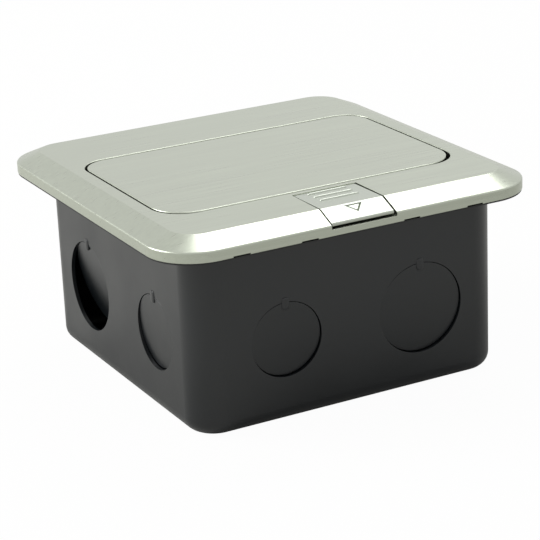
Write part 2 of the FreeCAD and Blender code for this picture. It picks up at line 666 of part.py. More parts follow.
def bottom_box():
    box = tub(0, 0, BOX_H).cut(tub(BOX_T, BOX_T, BOX_H + OVER))
    discs = []
    for turn, distance, along, r, bend in knockouts():
        hole, disc = [moved(turned(moved(shape, along, -distance, KO_Z), turn, axis=Z_AXIS), 0, BOX_Y, 0)
                      for shape in knockout_tools(r, bend)]
        box = box.cut(hole)
        discs.append(disc)
    box = box.fuse(discs)
    for sx in (-1, 1):
        for sy in (-1, 1):
            box = box.cut(rod(sx * HOLE_PITCH / 2, BOX_Y + sy * HOLE_PITCH / 2, -OVER, HOLE_R, BOX_T + 2 * OVER))
    return box


def box_lugs():
    """Four tapped lugs spot-welded inside the box's mouth."""
    lugs = []
    for y in FIX_Y:
        y0, y1 = y - LUG_W / 2, y + LUG_W / 2
        lug = block(BOX_IN - LUG_L, BOX_IN, y0, y1, Z_FRAME_LOW - LUG_T, Z_FRAME_LOW)
        lug = lug.fuse(block(BOX_IN - LUG_T, BOX_IN, y0, y1, Z_FRAME_LOW - LUG_DROP, Z_FRAME_LOW))
        tapped = rod(FIX_X, y, Z_FRAME_LOW - LUG_T - OVER, FIX_R + THREAD, LUG_T + 2 * OVER)
        lugs += mirrored(lug.removeSplitter().cut(tapped))
    return group(lugs)


def fixing_screws():
    one = screw(FIX_HEAD_R, FIX_HEAD_H, FIX_R, FIX_L)
    return group([moved(one, sx * FIX_X, y, Z_FRAME) for sx in (-1, 1) for y in FIX_Y])


def earth_bush():
    bush = rod(EARTH_X, EARTH_Y, BOX_T, EARTH_BUSH_R, EARTH_BUSH_H)
    return bush.cut(rod(EARTH_X, EARTH_Y, BOX_T + EARTH_BLIND, EARTH_R + THREAD, EARTH_BUSH_H))


def earth_washer():
    """Cupped washer that traps the earth wire."""
    z = BOX_T + EARTH_BUSH_H
    cup = rod(EARTH_X, EARTH_Y, z, WASHER_R, WASHER_H)
    cup = cup.cut(rod(EARTH_X, EARTH_Y, z + WASHER_T, WASHER_R - WASHER_WALL, WASHER_H))
    return cup.cut(rod(EARTH_X, EARTH_Y, z - OVER, EARTH_R + M3_CLEAR, WASHER_H + OVER))


def earth_screw():
    one = screw(EARTH_HEAD_R, EARTH_HEAD_H, EARTH_R, EARTH_SCREW_L)
    return moved(one, EARTH_X, EARTH_Y, BOX_T + EARTH_BUSH_H + WASHER_T)


# ---- hinge ------------------------------------------------------------------------------------------
def from_hinge(shape):
    """Puts a shape drawn about the hinge axis in its place."""
    return moved(shape, 0, HINGE_Y, HINGE_Z)


def from_panel(shape):
    """Puts a shape drawn with the socket panel upright and facing -Y in its place."""
    return from_hinge(turned(shape, PANEL_TILT))


def on_circle(r, degrees):
    """Point at r from the hinge, at an angle measured down from the lid."""
    a = math.radians(degrees)
    return -r * math.cos(a), -r * math.sin(a)


def hinge_pins():
    """Pins pushed outwards from inside the carrier, through its hubs and the brackets."""
    x = CHEEK_X - HUB_L - SLIDE - PIN_HEAD_T
    end = BRACKET_OUT + PIN_OUT - PIN_END
    pin = rod(x, 0, 0, PIN_R, end - x, X_AXIS).fuse(rod(x, 0, 0, PIN_HEAD_R, PIN_HEAD_T, X_AXIS))
    return group(mirrored(from_hinge(pin.removeSplitter())))


def pin_clips():
    """Retaining ring on each pin's outer end, open on one side."""
    x = BRACKET_OUT + CLIP_GAP
    past = x - OVER
    ring = rod(x, 0, 0, PIN_R + CLIP_W, CLIP_T, X_AXIS).cut(rod(past, 0, 0, PIN_R, CLIP_T + 2 * OVER, X_AXIS))
    mouth = block(past, x + CLIP_T + OVER, -CLIP_MOUTH / 2, CLIP_MOUTH / 2, -PIN_R - CLIP_W - OVER, 0)
    return group(mirrored(from_hinge(ring.cut(mouth))))


def swept_wire(edges, r, start, direction):
    """Round wire of radius r along a path of joined edges."""
    profile = Part.Wire(Part.makeCircle(r, start, direction))
    return Part.Wire(edges).makePipeShell([profile], True, True)


def lid_springs():
    """Torsion spring round each pin: one leg lifts the lid's cheek, the other bears on the bracket."""
    coil = Part.makeHelix(TORSION_PITCH, TORSION_PITCH * TORSION_TURNS, TORSION_R)
    coil.rotate(V(0, 0, 0), Y_AXIS, 90)
    coil.translate(V(CHEEK_X + TORSION_GAP, 0, 0))
    first = coil.Edges[0].valueAt(coil.Edges[0].FirstParameter)
    last = coil.Edges[-1].valueAt(coil.Edges[-1].LastParameter)
    leg = Part.makeLine(first - V(0, LEG_L, 0), first)
    anchor = Part.makeLine(last, last - V(0, 0, ANCHOR_L))
    wire = swept_wire([leg] + coil.Edges + [anchor], TORSION_WIRE_R, first - V(0, LEG_L, 0), Y_AXIS)
    return group(mirrored(from_hinge(wire)))


def toothed_outline(r, centre_deg, teeth, pitch_deg, x):
    """Outline points of teeth spaced by pitch_deg, the first one centred at centre_deg."""
    half = math.pi * TOOTH_MODULE / 4 - TOOTH_THIN
    points = []
    for k in range(teeth):
        middle = math.radians(centre_deg + k * pitch_deg)
        flank = [(r + d * TOOTH_MODULE, (half + w * TOOTH_MODULE) / (r + d * TOOTH_MODULE)) for d, w in (TOOTH_ROOT, TOOTH_TIP)]
        sides = [(rad, middle - a) for rad, a in flank] + [(rad, middle + a) for rad, a in reversed(flank)]
        points += [V(x, -rad * math.cos(a), -rad * math.sin(a)) for rad, a in sides]
    return points


def damper_gear():
    """Pinion on the damper's shaft, with a gap between two teeth towards the hinge."""
    pitch = 360 / GEAR_TEETH
    x = CHEEK_X + GEAR_GAP
    outline = toothed_outline(GEAR_R, DAMPER_DEG + 180 + pitch / 2, GEAR_TEETH, pitch, x)
    gear = Part.Face(Part.makePolygon(outline + outline[:1])).extrude(V(RACK_T, 0, 0))
    gear = gear.fuse(rod(x + RACK_T, 0, 0, GEAR_SHAFT_R, GEAR_SHAFT_L, X_AXIS)).removeSplitter()
    dy, dz = damper_centre()
    return from_hinge(moved(gear, 0, dy, dz))


def damper_rack():
    """Toothed sector on the right cheek, centred on the hinge, that drives the damper."""
    pitch = 360 / RACK_TEETH
    last_deg = DAMPER_DEG + (RACK_CUT - 1) * pitch
    mid_deg = (last_deg + DAMPER_DEG) / 2
    outline = toothed_outline(RACK_R, DAMPER_DEG, RACK_CUT, pitch, CHEEK_X)
    band = [V(CHEEK_X, *on_circle(RACK_R - RACK_BAND, a)) for a in (last_deg, mid_deg, DAMPER_DEG)]
    rim = Part.Wire([Part.makePolygon([band[2]] + outline + [band[0]]), Part.Arc(*band).toShape()])
    rack = Part.Face(rim).extrude(V(RACK_T, 0, 0))
    outer_past, inner_past = RACK_WEB_DEG
    corners = [on_circle(RACK_R - RACK_WEB_IN, a) for a in (last_deg - 1, mid_deg, DAMPER_DEG - outer_past)]
    corners += [on_circle(RACK_IN_R, DAMPER_DEG - inner_past), on_circle(RACK_IN_R, last_deg)]
    rack = rack.fuse(yz_prism(corners, CHEEK_X, CHEEK_X + RACK_WEB_T))
    for r, a in RACK_SCREWS:
        rack = rack.cut(rod(CHEEK_X - OVER, *on_circle(r, a), M2_R + M2_CLEAR, RACK_T, X_AXIS))
    return from_hinge(rack)


def sideways(shape):
    """A screw turned so that its head faces +X."""
    return turned(shape, 90, axis=Y_AXIS)


def rack_screws():
    one = sideways(screw(M2_HEAD_R, RACK_HEAD_H, M2_R, RACK_WEB_T + CHEEK_T))
    return group([from_hinge(moved(one, CHEEK_X + RACK_WEB_T, *on_circle(r, a))) for r, a in RACK_SCREWS])


def damper_body():
    """Barrel with two ears; its bore carries the gear's shaft."""
    x = BRACKET_OUT
    body = rod(x, 0, 0, DAMPER_R, DAMPER_L, X_AXIS)
    body = body.fuse(block(x, x + DAMPER_EAR_T, -DAMPER_EAR, DAMPER_EAR, -DAMPER_EAR_R, DAMPER_EAR_R))
    for side in (-1, 1):
        body = body.fuse(rod(x, side * DAMPER_EAR, 0, DAMPER_EAR_R, DAMPER_EAR_T, X_AXIS))
    body = body.cut(rod(x - OVER, 0, 0, GEAR_SHAFT_R + RUN, DAMPER_L, X_AXIS))
    for side in (-1, 1):
        body = body.cut(rod(x - OVER, side * DAMPER_EAR, 0, M2_R + M2_CLEAR, DAMPER_L, X_AXIS))
    dy, dz = damper_centre()
    return from_hinge(moved(body, 0, dy, dz))


def damper_screws():
    one = sideways(screw(M2_HEAD_R, M2_HEAD_H, M2_R, DAMPER_SCREW_L))
    dy, dz = damper_centre()
    x = BRACKET_OUT + DAMPER_EAR_T
    return group([from_hinge(moved(one, x, dy + side * DAMPER_EAR, dz)) for side in (-1, 1)])


# ---- latch --------------------------------------------------------------------------------------------
def latch_button():
    """Thumb slide: ribbed rest level with the plate, sloping nose with an engraved arrow, two posts."""
    slope = BEVEL_H / BEVEL_W
    nose_z = TOTAL_H - (-LATCH_FRONT - FLAT_HALF) * slope
    profile = [(LATCH_REAR, TOTAL_H - LATCH_DIP), (-FLAT_HALF, TOTAL_H), (LATCH_FRONT, nose_z),
               (LATCH_FRONT, LATCH_Z), (LATCH_REAR, LATCH_Z)]
    button = yz_prism(profile, -LATCH_W / 2, LATCH_W / 2)
    fall = LATCH_DIP / (LATCH_REAR + FLAT_HALF)
    for k in range(RIB_COUNT):
        y = LATCH_REAR - RIB_FIRST - k * RIB_PITCH
        z = TOTAL_H - (y + FLAT_HALF) * fall + RIB_H - RIB_W / 2
        end = RIB_L / 2 - RIB_W / 2
        button = button.fuse([rod(-end, y, z, RIB_W / 2, 2 * end, X_AXIS)]
                             + [Part.makeSphere(RIB_W / 2, V(sx * end, y, z)) for sx in (-1, 1)])
    button = button.cut(arrow_groove())
    for sx in (-1, 1):
        x = sx * POST_X
        post = block(x - POST_W / 2, x + POST_W / 2, POST_Y - POST_L / 2, POST_Y + POST_L / 2,
                     HOOK_Z, LATCH_Z + LAP)
        button = button.fuse(post).cut(rod(x, POST_Y, HOOK_Z - OVER, M2_R + THREAD, POST_TAP + OVER))
    return button


def arrow_groove():
    """Triangular line cut into the nose, its point towards the front."""
    side = math.hypot(ARROW_W / 2, ARROW_L)

    def triangle(inset):
        half = ARROW_W / 2 - inset * (ARROW_W / 2 + side) / ARROW_L
        tip = inset * side / (ARROW_W / 2) - ARROW_L
        corners = [V(-half, -inset, -ARROW_DEEP), V(half, -inset, -ARROW_DEEP), V(0, tip, -ARROW_DEEP)]
        return Part.Face(Part.makePolygon(corners + corners[:1])).extrude(V(0, 0, ARROW_DEEP + OVER))
    line = triangle(0).cut(triangle(ARROW_LINE))
    slope = BEVEL_H / BEVEL_W
    return moved(turned(line, math.degrees(math.atan(slope))), 0, -FLAT_HALF - ARROW_IN, TOTAL_H - ARROW_IN * slope)


def latch_hook():
    """Steel plate under the frame: a tongue that holds the lid's strike, and a tab for the spring."""
    low = HOOK_Z - HOOK_T
    tip = LID_FRONT + HOOK_TIP
    hook = block(-HOOK_HALF, HOOK_HALF, LID_FRONT - HOOK_FRONT, HOOK_BACK, low, HOOK_Z)
    tongue = [(HOOK_BACK - LAP, low), (tip, low), (tip, HOOK_Z - HOOK_EASE), (tip - HOOK_EASE, HOOK_Z),
              (HOOK_BACK - LAP, HOOK_Z)]
    hook = hook.fuse(yz_prism(tongue, -TONGUE_HALF, TONGUE_HALF))
    hook = hook.fuse(block(-TONGUE_HALF, TONGUE_HALF, HOOK_BACK - HOOK_T, HOOK_BACK, SPRING_Z - TAB_DROP, low + LAP))
    pip_end = HOOK_BACK - HOOK_T - SPRING_PIP_L
    hook = hook.fuse(rod(0, pip_end, SPRING_Z, SPRING_PIP_R, SPRING_PIP_L + LAP, Y_AXIS))
    for sx in (-1, 1):
        hook = hook.cut(rod(sx * POST_X, POST_Y, low - OVER, M2_R + M2_CLEAR, HOOK_T + 2 * OVER))
    return hook


def latch_screws():
    one = upturned(screw(M2_HEAD_R, M2_HEAD_H, M2_R, LATCH_SCREW_L))
    return group([moved(one, sx * POST_X, POST_Y, HOOK_Z - HOOK_T) for sx in (-1, 1)])


def latch_spring():
    """Compression spring between the frame's wall and the hook's tab."""
    start = SPRING_SEAT + COIL_WIRE_R
    length = HOOK_BACK - HOOK_T - COIL_WIRE_R - start
    coil = Part.makeHelix(length / COIL_TURNS, length, COIL_R)
    profile = Part.Wire(Part.makeCircle(COIL_WIRE_R, V(COIL_R, 0, 0), Y_AXIS))
    wire = Part.Wire(coil.Edges).makePipeShell([profile], True, True)
    return moved(turned(wire, -90), 0, start, SPRING_Z)


def lid_strike():
    """Spring-steel tongue under the lid's front edge, which the hook's tongue holds down."""
    lip_top = HOOK_Z - HOOK_T - STRIKE_GAP
    half = TONGUE_HALF + STRIKE_WIDER
    rear = LID_FRONT + STRIKE_REAR
    foot = block(-STRIKE_HALF, STRIKE_HALF, LID_FRONT + STRIKE_FRONT, rear, Z_DECK - STRIKE_T, Z_DECK)
    leaf = block(-half, half, rear - STRIKE_T, rear, lip_top - STRIKE_T, Z_DECK)
    lip = block(-half, half, LID_FRONT + STRIKE_LIP, rear, lip_top - STRIKE_T, lip_top)
    strike = foot.fuse([leaf, lip]).removeSplitter()
    for x, y in strike_screw_places():
        strike = strike.cut(rod(x, y, Z_DECK - STRIKE_T - OVER, M2_R + M2_CLEAR, STRIKE_T + 2 * OVER))
    return strike


def strike_screw_places():
    y = LID_FRONT + (STRIKE_FRONT + STRIKE_REAR) / 2
    return [(sx * (STRIKE_HALF - STRIKE_SCREW_IN), y) for sx in (-1, 1)]


def strike_screws():
    one = upturned(screw(STRIKE_HEAD_R, STRIKE_HEAD_H, M2_R, STRIKE_SCREW_L))
    return group([moved(one, x, y, Z_DECK - STRIKE_T) for x, y in strike_screw_places()])


# ---- lid and carrier --------------------------------------------------------------------------------------
def lid_boss_places():
    return [(sx * LID_BOSS_X, y) for sx in (-1, 1) for y in LID_BOSS_Y]


def lid_plate():
    lid = round_prism(LID_HALF, LID_FRONT, LID_REAR, LID_R, Z_DECK, TOTAL_H, LID_FRONT_R)
    lid = lid.makeFillet(LID_EDGE_R, edges_at(lid, TOTAL_H))
    for x, y in lid_boss_places():
        lid = lid.fuse(rod(x, y, Z_FRAME, LID_BOSS_R, Z_DECK - Z_FRAME))
        lid = lid.cut(rod(x, y, Z_FRAME - OVER, M3_R + THREAD, LID_SCREW_IN + TAP_END + OVER))
    for x, y in strike_screw_places():
        lid = lid.cut(rod(x, y, Z_DECK - OVER, M2_R + THREAD, STRIKE_SCREW_L - STRIKE_T + TAP_END + OVER))
    return lid


def carrier_screws():
    one = upturned(screw(M3_HEAD_R, M3_HEAD_H, M3_R, WEB_T + LID_SCREW_IN))
    return group([moved(one, x, y, HINGE_Z + WEB_LOW) for x, y in lid_boss_places()])


def panel_screw_places():
    return [(sx * (CHEEK_IN - PANEL_BOSS_IN), z) for sx in (-1, 1) for z in PANEL_SCREW_Z]


def cheek_outline():
    """Side of the carrier about the hinge, before the panel and the circle trim its front."""
    low_y, low_z = on_circle(PANEL_R, CHEEK_DEG)
    tail_y, tail_z = CHEEK_TAIL
    reach = 1.4
    foot = (tail_y + reach * (low_y - tail_y), tail_z + reach * (low_z - tail_z))
    far = -2 * PANEL_R
    return [(far, WEB_TOP), (WEB_REAR, WEB_TOP), (tail_y, 0), (tail_y, tail_z), foot, (far, foot[1])]


def behind_panel(inset):
    """Half-space behind the panel's back face, as a large block."""
    big = 2 * PANEL_R
    return turned(block(-big, big, PANEL_BACK + inset, big, -big, big), PANEL_TILT)


def stop_tab():
    """Lug on the cheek's outside that meets the underside of the ledge when the lid is fully up."""
    r0, r1 = STOP_R
    meet_deg = LID_OPEN_DEG + math.degrees(math.asin((HINGE_Z - Z_FRAME_LOW + STOP_GAP) / r0))
    return turned(block(CHEEK_X - LAP, STOP_X, -r1, -r0, -STOP_T, 0), meet_deg)


def rear_line():
    """The rear cover's outer face about the hinge: lower front end, lower rear corner, upper end."""
    low_y, low_z = on_circle(PANEL_R, CHEEK_DEG)
    tail_y, tail_z = CHEEK_TAIL
    length = math.hypot(tail_y - low_y, tail_z - low_z)
    uy, uz = (tail_y - low_y) / length, (tail_z - low_z) / length
    in_y, in_z = -uz * COVER_INSET, uy * COVER_INSET
    corner = (low_y + uy * COVER_CORNER + in_y, low_z + uz * COVER_CORNER + in_z)
    top = (tail_y - uy * COVER_END + in_y, tail_z - uz * COVER_END + in_z)
    front_in, front_deg = COVER_FRONT
    return on_circle(PANEL_R - front_in, front_deg), corner, top


def sheet_profile(path, t):
    """Polygon of a bent sheet: the path is one face, and the other lies t to its left, mitred."""
    normals = []
    for (y0, z0), (y1, z1) in zip(path, path[1:]):
        length = math.hypot(y1 - y0, z1 - z0)
        normals.append(((z0 - z1) / length, (y1 - y0) / length))
    shifted = []
    for k, (y, z) in enumerate(path):
        ny, nz = normals[max(k - 1, 0)]
        my, mz = normals[min(k, len(normals) - 1)]
        share = t / (1 + ny * my + nz * mz)
        shifted.append((y + (ny + my) * share, z + (nz + mz) * share))
    return list(path) + shifted[::-1]


def on_rear(shape):
    """Puts a shape drawn upright about the rear cover's lower corner, facing +Y, in its place."""
    front, corner, top = rear_line()
    lean = math.degrees(math.atan2(top[0] - corner[0], top[1] - corner[1]))
    return from_hinge(moved(turned(shape, -lean), 0, *corner))


def rear_length():
    front, corner, top = rear_line()
    return math.hypot(top[0] - corner[0], top[1] - corner[1])


def popup_carrier():
    """Moulded body under the lid: two cheeks, a web, hubs, screw bosses and end stops."""
    disc = rod(-HALF, 0, 0, PANEL_R, PLATE, X_AXIS)
    cheek = yz_prism(cheek_outline(), CHEEK_IN, CHEEK_X).common(disc).common(behind_panel(0))
    hub = rod(CHEEK_X - HUB_L, 0, 0, HUB_R, HUB_L, X_AXIS)
    peg_z = TORSION_WIRE_R + CHEEK_PEG_R + STOP_GAP - TORSION_R
    peg = rod(CHEEK_X - LAP, CHEEK_PEG_IN - LEG_L, peg_z, CHEEK_PEG_R, CHEEK_PEG_L + LAP, X_AXIS)
    side = cheek.fuse([hub, peg, stop_tab()])
    half = CHEEK_IN + TOUCH
    web = block(-half, half, -2 * PANEL_R, WEB_REAR, WEB_LOW, WEB_TOP).common(behind_panel(0))
    body = web.fuse(mirrored(side))
    under_web = block(-HALF, HALF, -PLATE, PLATE, -PLATE, WEB_TOP)
    for x, z in panel_screw_places():
        boss = turned(rod(x, PANEL_BACK, z, PANEL_BOSS_R, PANEL_BOSS_L, Y_AXIS), PANEL_TILT)
        tapped = rod(x, PANEL_BACK - OVER, z, M2_R + THREAD, PANEL_SCREW_L + TAP_END + OVER, Y_AXIS)
        body = body.fuse(boss.common(under_web)).cut(turned(tapped, PANEL_TILT))
    body = body.cut(rod(-HALF, 0, 0, PIN_R + RUN, PLATE, X_AXIS))
    entry = rod(PIN_ENTRY, 0, 0, PIN_HEAD_R + LAP, CHEEK_X - HUB_L - PIN_ENTRY, X_AXIS)
    body = body.cut(group(mirrored(entry)))
    for r, a in RACK_SCREWS:
        body = body.cut(rod(CHEEK_IN - OVER, *on_circle(r, a), M2_R + THREAD, CHEEK_T + 2 * OVER, X_AXIS))
    body = from_hinge(body)
    for x, y in lid_boss_places():
        body = body.cut(rod(x, y, HINGE_Z + WEB_LOW - OVER, M3_R + M3_CLEAR, WEB_T + 2 * OVER))
    z = rear_length() - COVER_SCREW
    for x in (-COVER_SCREW_X, COVER_SCREW_X):
        boss = rod(x, -COVER_T - COVER_BOSS_L, z, COVER_BOSS_R, COVER_BOSS_L, Y_AXIS)
        tapped = rod(x, -COVER_T - COVER_SCREW_L - TAP_END, z, M2_R + THREAD, COVER_SCREW_L + TAP_END + OVER, Y_AXIS)
        body = body.fuse(on_rear(boss)).cut(on_rear(tapped))
    return body.removeSplitter()


def rear_cover():
    """Bent cover over the wiring side of the carrier, with a cable mouth and two clamp bosses."""
    half = CHEEK_IN - SEAT
    length = rear_length()
    cover = from_hinge(yz_prism(sheet_profile(rear_line(), COVER_T), -half, half).common(behind_panel(SLIDE)))
    mouth = length - COVER_MOUTH
    cover = cover.cut(on_rear(block(-MOUTH_HALF, MOUTH_HALF, -COVER_T - OVER, OVER, mouth - MOUTH_H, mouth)))
    inner_end = -COVER_T - CLAMP_BOSS_L
    for x in (-CLAMP_X, CLAMP_X):
        boss = rod(x, inner_end, length - CLAMP_DROP, COVER_BOSS_R, CLAMP_BOSS_L + LAP, Y_AXIS)
        tapped = rod(x, inner_end - OVER, length - CLAMP_DROP, M2_R + THREAD, PLATE, Y_AXIS)
        cover = cover.fuse(on_rear(boss)).cut(on_rear(tapped))
    for x in (-COVER_SCREW_X, COVER_SCREW_X):
        hole = rod(x, -COVER_T - OVER, length - COVER_SCREW, M2_R + M2_CLEAR, COVER_T + 2 * OVER, Y_AXIS)
        cover = cover.cut(on_rear(hole))
    return cover


def rearwards(shape):
    """A screw turned so that its head faces +Y."""
    return turned(shape, -90)


def rear_cover_screws():
    one = rearwards(screw(M2_HEAD_R, M2_HEAD_H, M2_R, COVER_T + COVER_SCREW_L))
    z = rear_length() - COVER_SCREW
    return group([on_rear(moved(one, x, 0, z)) for x in (-COVER_SCREW_X, COVER_SCREW_X)])


def cable_clamp():
    """Saddle bar that grips the flexible cable against the cover."""
    z = rear_length() - CLAMP_DROP
    end = CLAMP_X + CLAMP_END
    bar = block(-end, end, 0, CLAMP_T, z - CLAMP_HALF_H, z + CLAMP_HALF_H)
    bar = bar.cut(rod(0, CLAMP_GRIP_Y, z - CLAMP_HALF_H - OVER, CLAMP_GRIP_R, 2 * (CLAMP_HALF_H + OVER)))
    for x in (-CLAMP_X, CLAMP_X):
        bar = bar.cut(rod(x, -OVER, z, M2_R + M2_CLEAR, CLAMP_T + 2 * OVER, Y_AXIS))
    return on_rear(bar)


def clamp_screws():
    one = rearwards(screw(M2_HEAD_R, M2_HEAD_H, M2_R, CLAMP_T + COVER_T + CLAMP_SCREW_L))
    z = rear_length() - CLAMP_DROP
    return group([on_rear(moved(one, x, CLAMP_T, z)) for x in (-CLAMP_X, CLAMP_X)])


# ---- socket panel and modules ---------------------------------------------------------------------------
def window(x, half, high):
    """Cutter through the upright panel."""
    return block(x - half, x + half, PANEL_Y - OVER, PANEL_BACK + OVER, MAINS_Z - high, MAINS_Z + high)


def socket_panel():
    """Flat panel with a square window for the mains module and two for the data jacks."""
    half = CHEEK_X - PANEL_SIDE
    panel = block(-half, half, PANEL_Y, PANEL_BACK, -PANEL_R / 2, PANEL_R / 2)
    panel = panel.common(rod(-HALF, 0, 0, PANEL_R + PANEL_LAP, PLATE, X_AXIS))
    under_lid = block(-HALF, HALF, -PLATE, 0, -PLATE, LID_RISE - PANEL_TOP)
    panel = turned(panel, PANEL_TILT).common(under_lid)
    cuts = [window(MAINS_X, MAINS_HALF, MAINS_HALF)] + [window(x, JACK_HALF, JACK_HALF_H) for x in JACK_X]
    for x, z in panel_screw_places():
        cuts.append(rod(x, PANEL_Y - OVER, z, M2_R + M2_CLEAR, PANEL_T + 2 * OVER, Y_AXIS))
    for cut in cuts:
        panel = panel.cut(turned(cut, PANEL_TILT))
    return from_hinge(panel)


def panel_screws():
    one = turned(screw(M2_HEAD_R, M2_HEAD_H, M2_R, PANEL_T + PANEL_SCREW_L), 90)
    return group([from_panel(moved(one, x, PANEL_Y, z)) for x, z in panel_screw_places()])


def mains_profile(inset, past=0):
    """Side of the mains module behind the panel; its top slopes away under the carrier's web."""
    low = MAINS_Z - MAINS_HALF - MAINS_BODY + inset
    front = PANEL_BACK + inset
    back = PANEL_BACK + MAINS_DEPTH + past
    return [(front, low), (back, low), (back, mains_roof(back) - inset), (front, mains_roof(front) - inset)]


def mains_roof(y):
    """Height of the mains module's sloping top, parallel to the carrier's web."""
    return -y * math.tan(math.radians(PANEL_TILT)) - MAINS_ROOF


def slot(dx, z, lean):
    """Narrow contact slot through the mains module's face."""
    cut = block(-SLOT_W / 2, SLOT_W / 2, PANEL_Y - OVER, PANEL_BACK + WALL + OVER, -SLOT_H / 2, SLOT_H / 2)
    return moved(turned(cut, lean, axis=Y_AXIS), MAINS_X + dx, 0, MAINS_Z + z)


def outlet_slots():
    """Slots of each pole: place from the face's centre, and lean."""
    return {
        "neutral": ((-PIN_PAIR, PAIR_SLOT_Z, 0), (-PIN_PAIR, SLANT_SLOT_Z, SLANT_DEG)),
        "live": ((PIN_PAIR, PAIR_SLOT_Z, 0), (PIN_PAIR, SLANT_SLOT_Z, -SLANT_DEG)),
        "earth": ((0, EARTH_SLOT_Z, 0),),
    }


def socket_housing():
    """Moulded shell of the mains module, open at the back."""
    body = MAINS_HALF + MAINS_BODY
    face = MAINS_HALF - SEAT
    shell = yz_prism(mains_profile(0), MAINS_X - body, MAINS_X + body)
    shell = shell.fuse(block(MAINS_X - face, MAINS_X + face, PANEL_Y - FACE_PROUD, PANEL_BACK + LAP,
                             MAINS_Z - face, MAINS_Z + face))
    shell = shell.cut(yz_prism(mains_profile(WALL, OVER), MAINS_X - body + WALL, MAINS_X + body - WALL))
    for places in outlet_slots().values():
        for place in places:
            shell = shell.cut(slot(*place))
    return from_panel(shell)


def socket_back():
    """Plate that closes the mains module, with a hole at each terminal screw."""
    body = MAINS_HALF + MAINS_BODY
    y = PANEL_BACK + MAINS_DEPTH
    back = block(MAINS_X - body, MAINS_X + body, y, y + WALL, MAINS_Z - body, mains_roof(y + WALL))
    for dx in (-PIN_PAIR, 0, PIN_PAIR):
        hole_r = M2_HEAD_R + TERMINAL_WINDOW
        back = back.cut(rod(MAINS_X + dx, y - OVER, TERMINAL_Z, hole_r, WALL + 2 * OVER, Y_AXIS))
    return from_panel(back)


def pole_contact(dx, places):
    """Brass strip on the module's back, with a pair of blades behind each slot and a terminal block."""
    y = PANEL_BACK + MAINS_DEPTH - TERMINAL_D
    zs = [MAINS_Z + z for _, z, _ in places] + [TERMINAL_Z]
    strip = block(-CONTACT_W / 2, CONTACT_W / 2, y, y + CONTACT_T, min(zs) - TERMINAL_HALF, max(zs) + BLADE_HALF)
    low = TERMINAL_Z - TERMINAL_HALF
    half = TERMINAL_W / 2
    strip = strip.fuse(block(-half, half, y, y + TERMINAL_D, low, TERMINAL_Z + TERMINAL_HALF))
    for _, z, lean in places:
        for side in (-1, 1):
            x = side * (BLADE_T + BLADE_GAP) / 2
            blade = block(x - BLADE_T / 2, x + BLADE_T / 2, y - BLADE_L, y + LAP, -BLADE_HALF, BLADE_HALF)
            strip = strip.fuse(moved(turned(blade, lean, axis=Y_AXIS), 0, 0, MAINS_Z + z))
    strip = strip.cut(rod(0, y + CONTACT_T, TERMINAL_Z, M2_R + THREAD, TERMINAL_D, Y_AXIS))
    return from_panel(moved(strip, MAINS_X + dx, 0, 0))


def terminal_screws():
    one = rearwards(screw(M2_HEAD_R, M2_HEAD_H, M2_R, TERMINAL_SCREW_L))
    y = PANEL_BACK + MAINS_DEPTH
    return group([from_panel(moved(one, MAINS_X + dx, y, TERMINAL_Z)) for dx in (-PIN_PAIR, 0, PIN_PAIR)])


def data_jack(x):
    """Eight-way jack that snaps into the panel; its port has a key way on top."""
    half = JACK_HALF - SEAT
    high = JACK_HALF_H - SEAT
    front = PANEL_Y - FACE_PROUD
    start = front - OVER
    back = front + JACK_DEPTH
    port_top = MAINS_Z + PORT_HIGH
    jack = block(x - half, x + half, front, back, MAINS_Z - high, MAINS_Z + high)
    port = block(x - PORT_HALF, x + PORT_HALF, start, front + PORT_DEPTH, MAINS_Z + PORT_LOW, port_top)
    key_end = front + PORT_DEPTH - KEY_SHORT
    key = block(x - KEY_HALF, x + KEY_HALF, start, key_end, port_top - LAP, port_top + KEY_H)
    step = block(x - half - OVER, x + half + OVER, back - JACK_STEP, back + OVER,
                 MAINS_Z + JACK_STEP_Z, MAINS_Z + high + OVER)
    jack = jack.cut(port).cut(key).cut(step)
    reach, length, tall = JACK_CLIP
    for side in (-1, 1):
        clip = block(x + side * half - reach, x + side * half + reach, PANEL_BACK + STOP_GAP, PANEL_BACK + length,
                     MAINS_Z - tall, MAINS_Z + tall)
        jack = jack.fuse(clip)
    return from_panel(jack.removeSplitter())


def jack_contacts():
    """Sprung gold wires in both ports: each rises from the port's lip to its back wall."""
    front = PANEL_Y - FACE_PROUD
    low = MAINS_Z + PORT_LOW
    bend = front + PORT_DEPTH - KEY_SHORT
    path = [(front + WIRE_FRONT, low), (bend, low + WIRE_RISE), (front + PORT_DEPTH, low + WIRE_RISE)]
    profile = sheet_profile(path, WIRE_T)
    wires = []
    for x in JACK_X:
        for k in range(WIRES):
            middle = x + (k - (WIRES - 1) / 2) * WIRE_PITCH
            wires.append(from_panel(yz_prism(profile, middle - WIRE_T / 2, middle + WIRE_T / 2)))
    return group(wires)


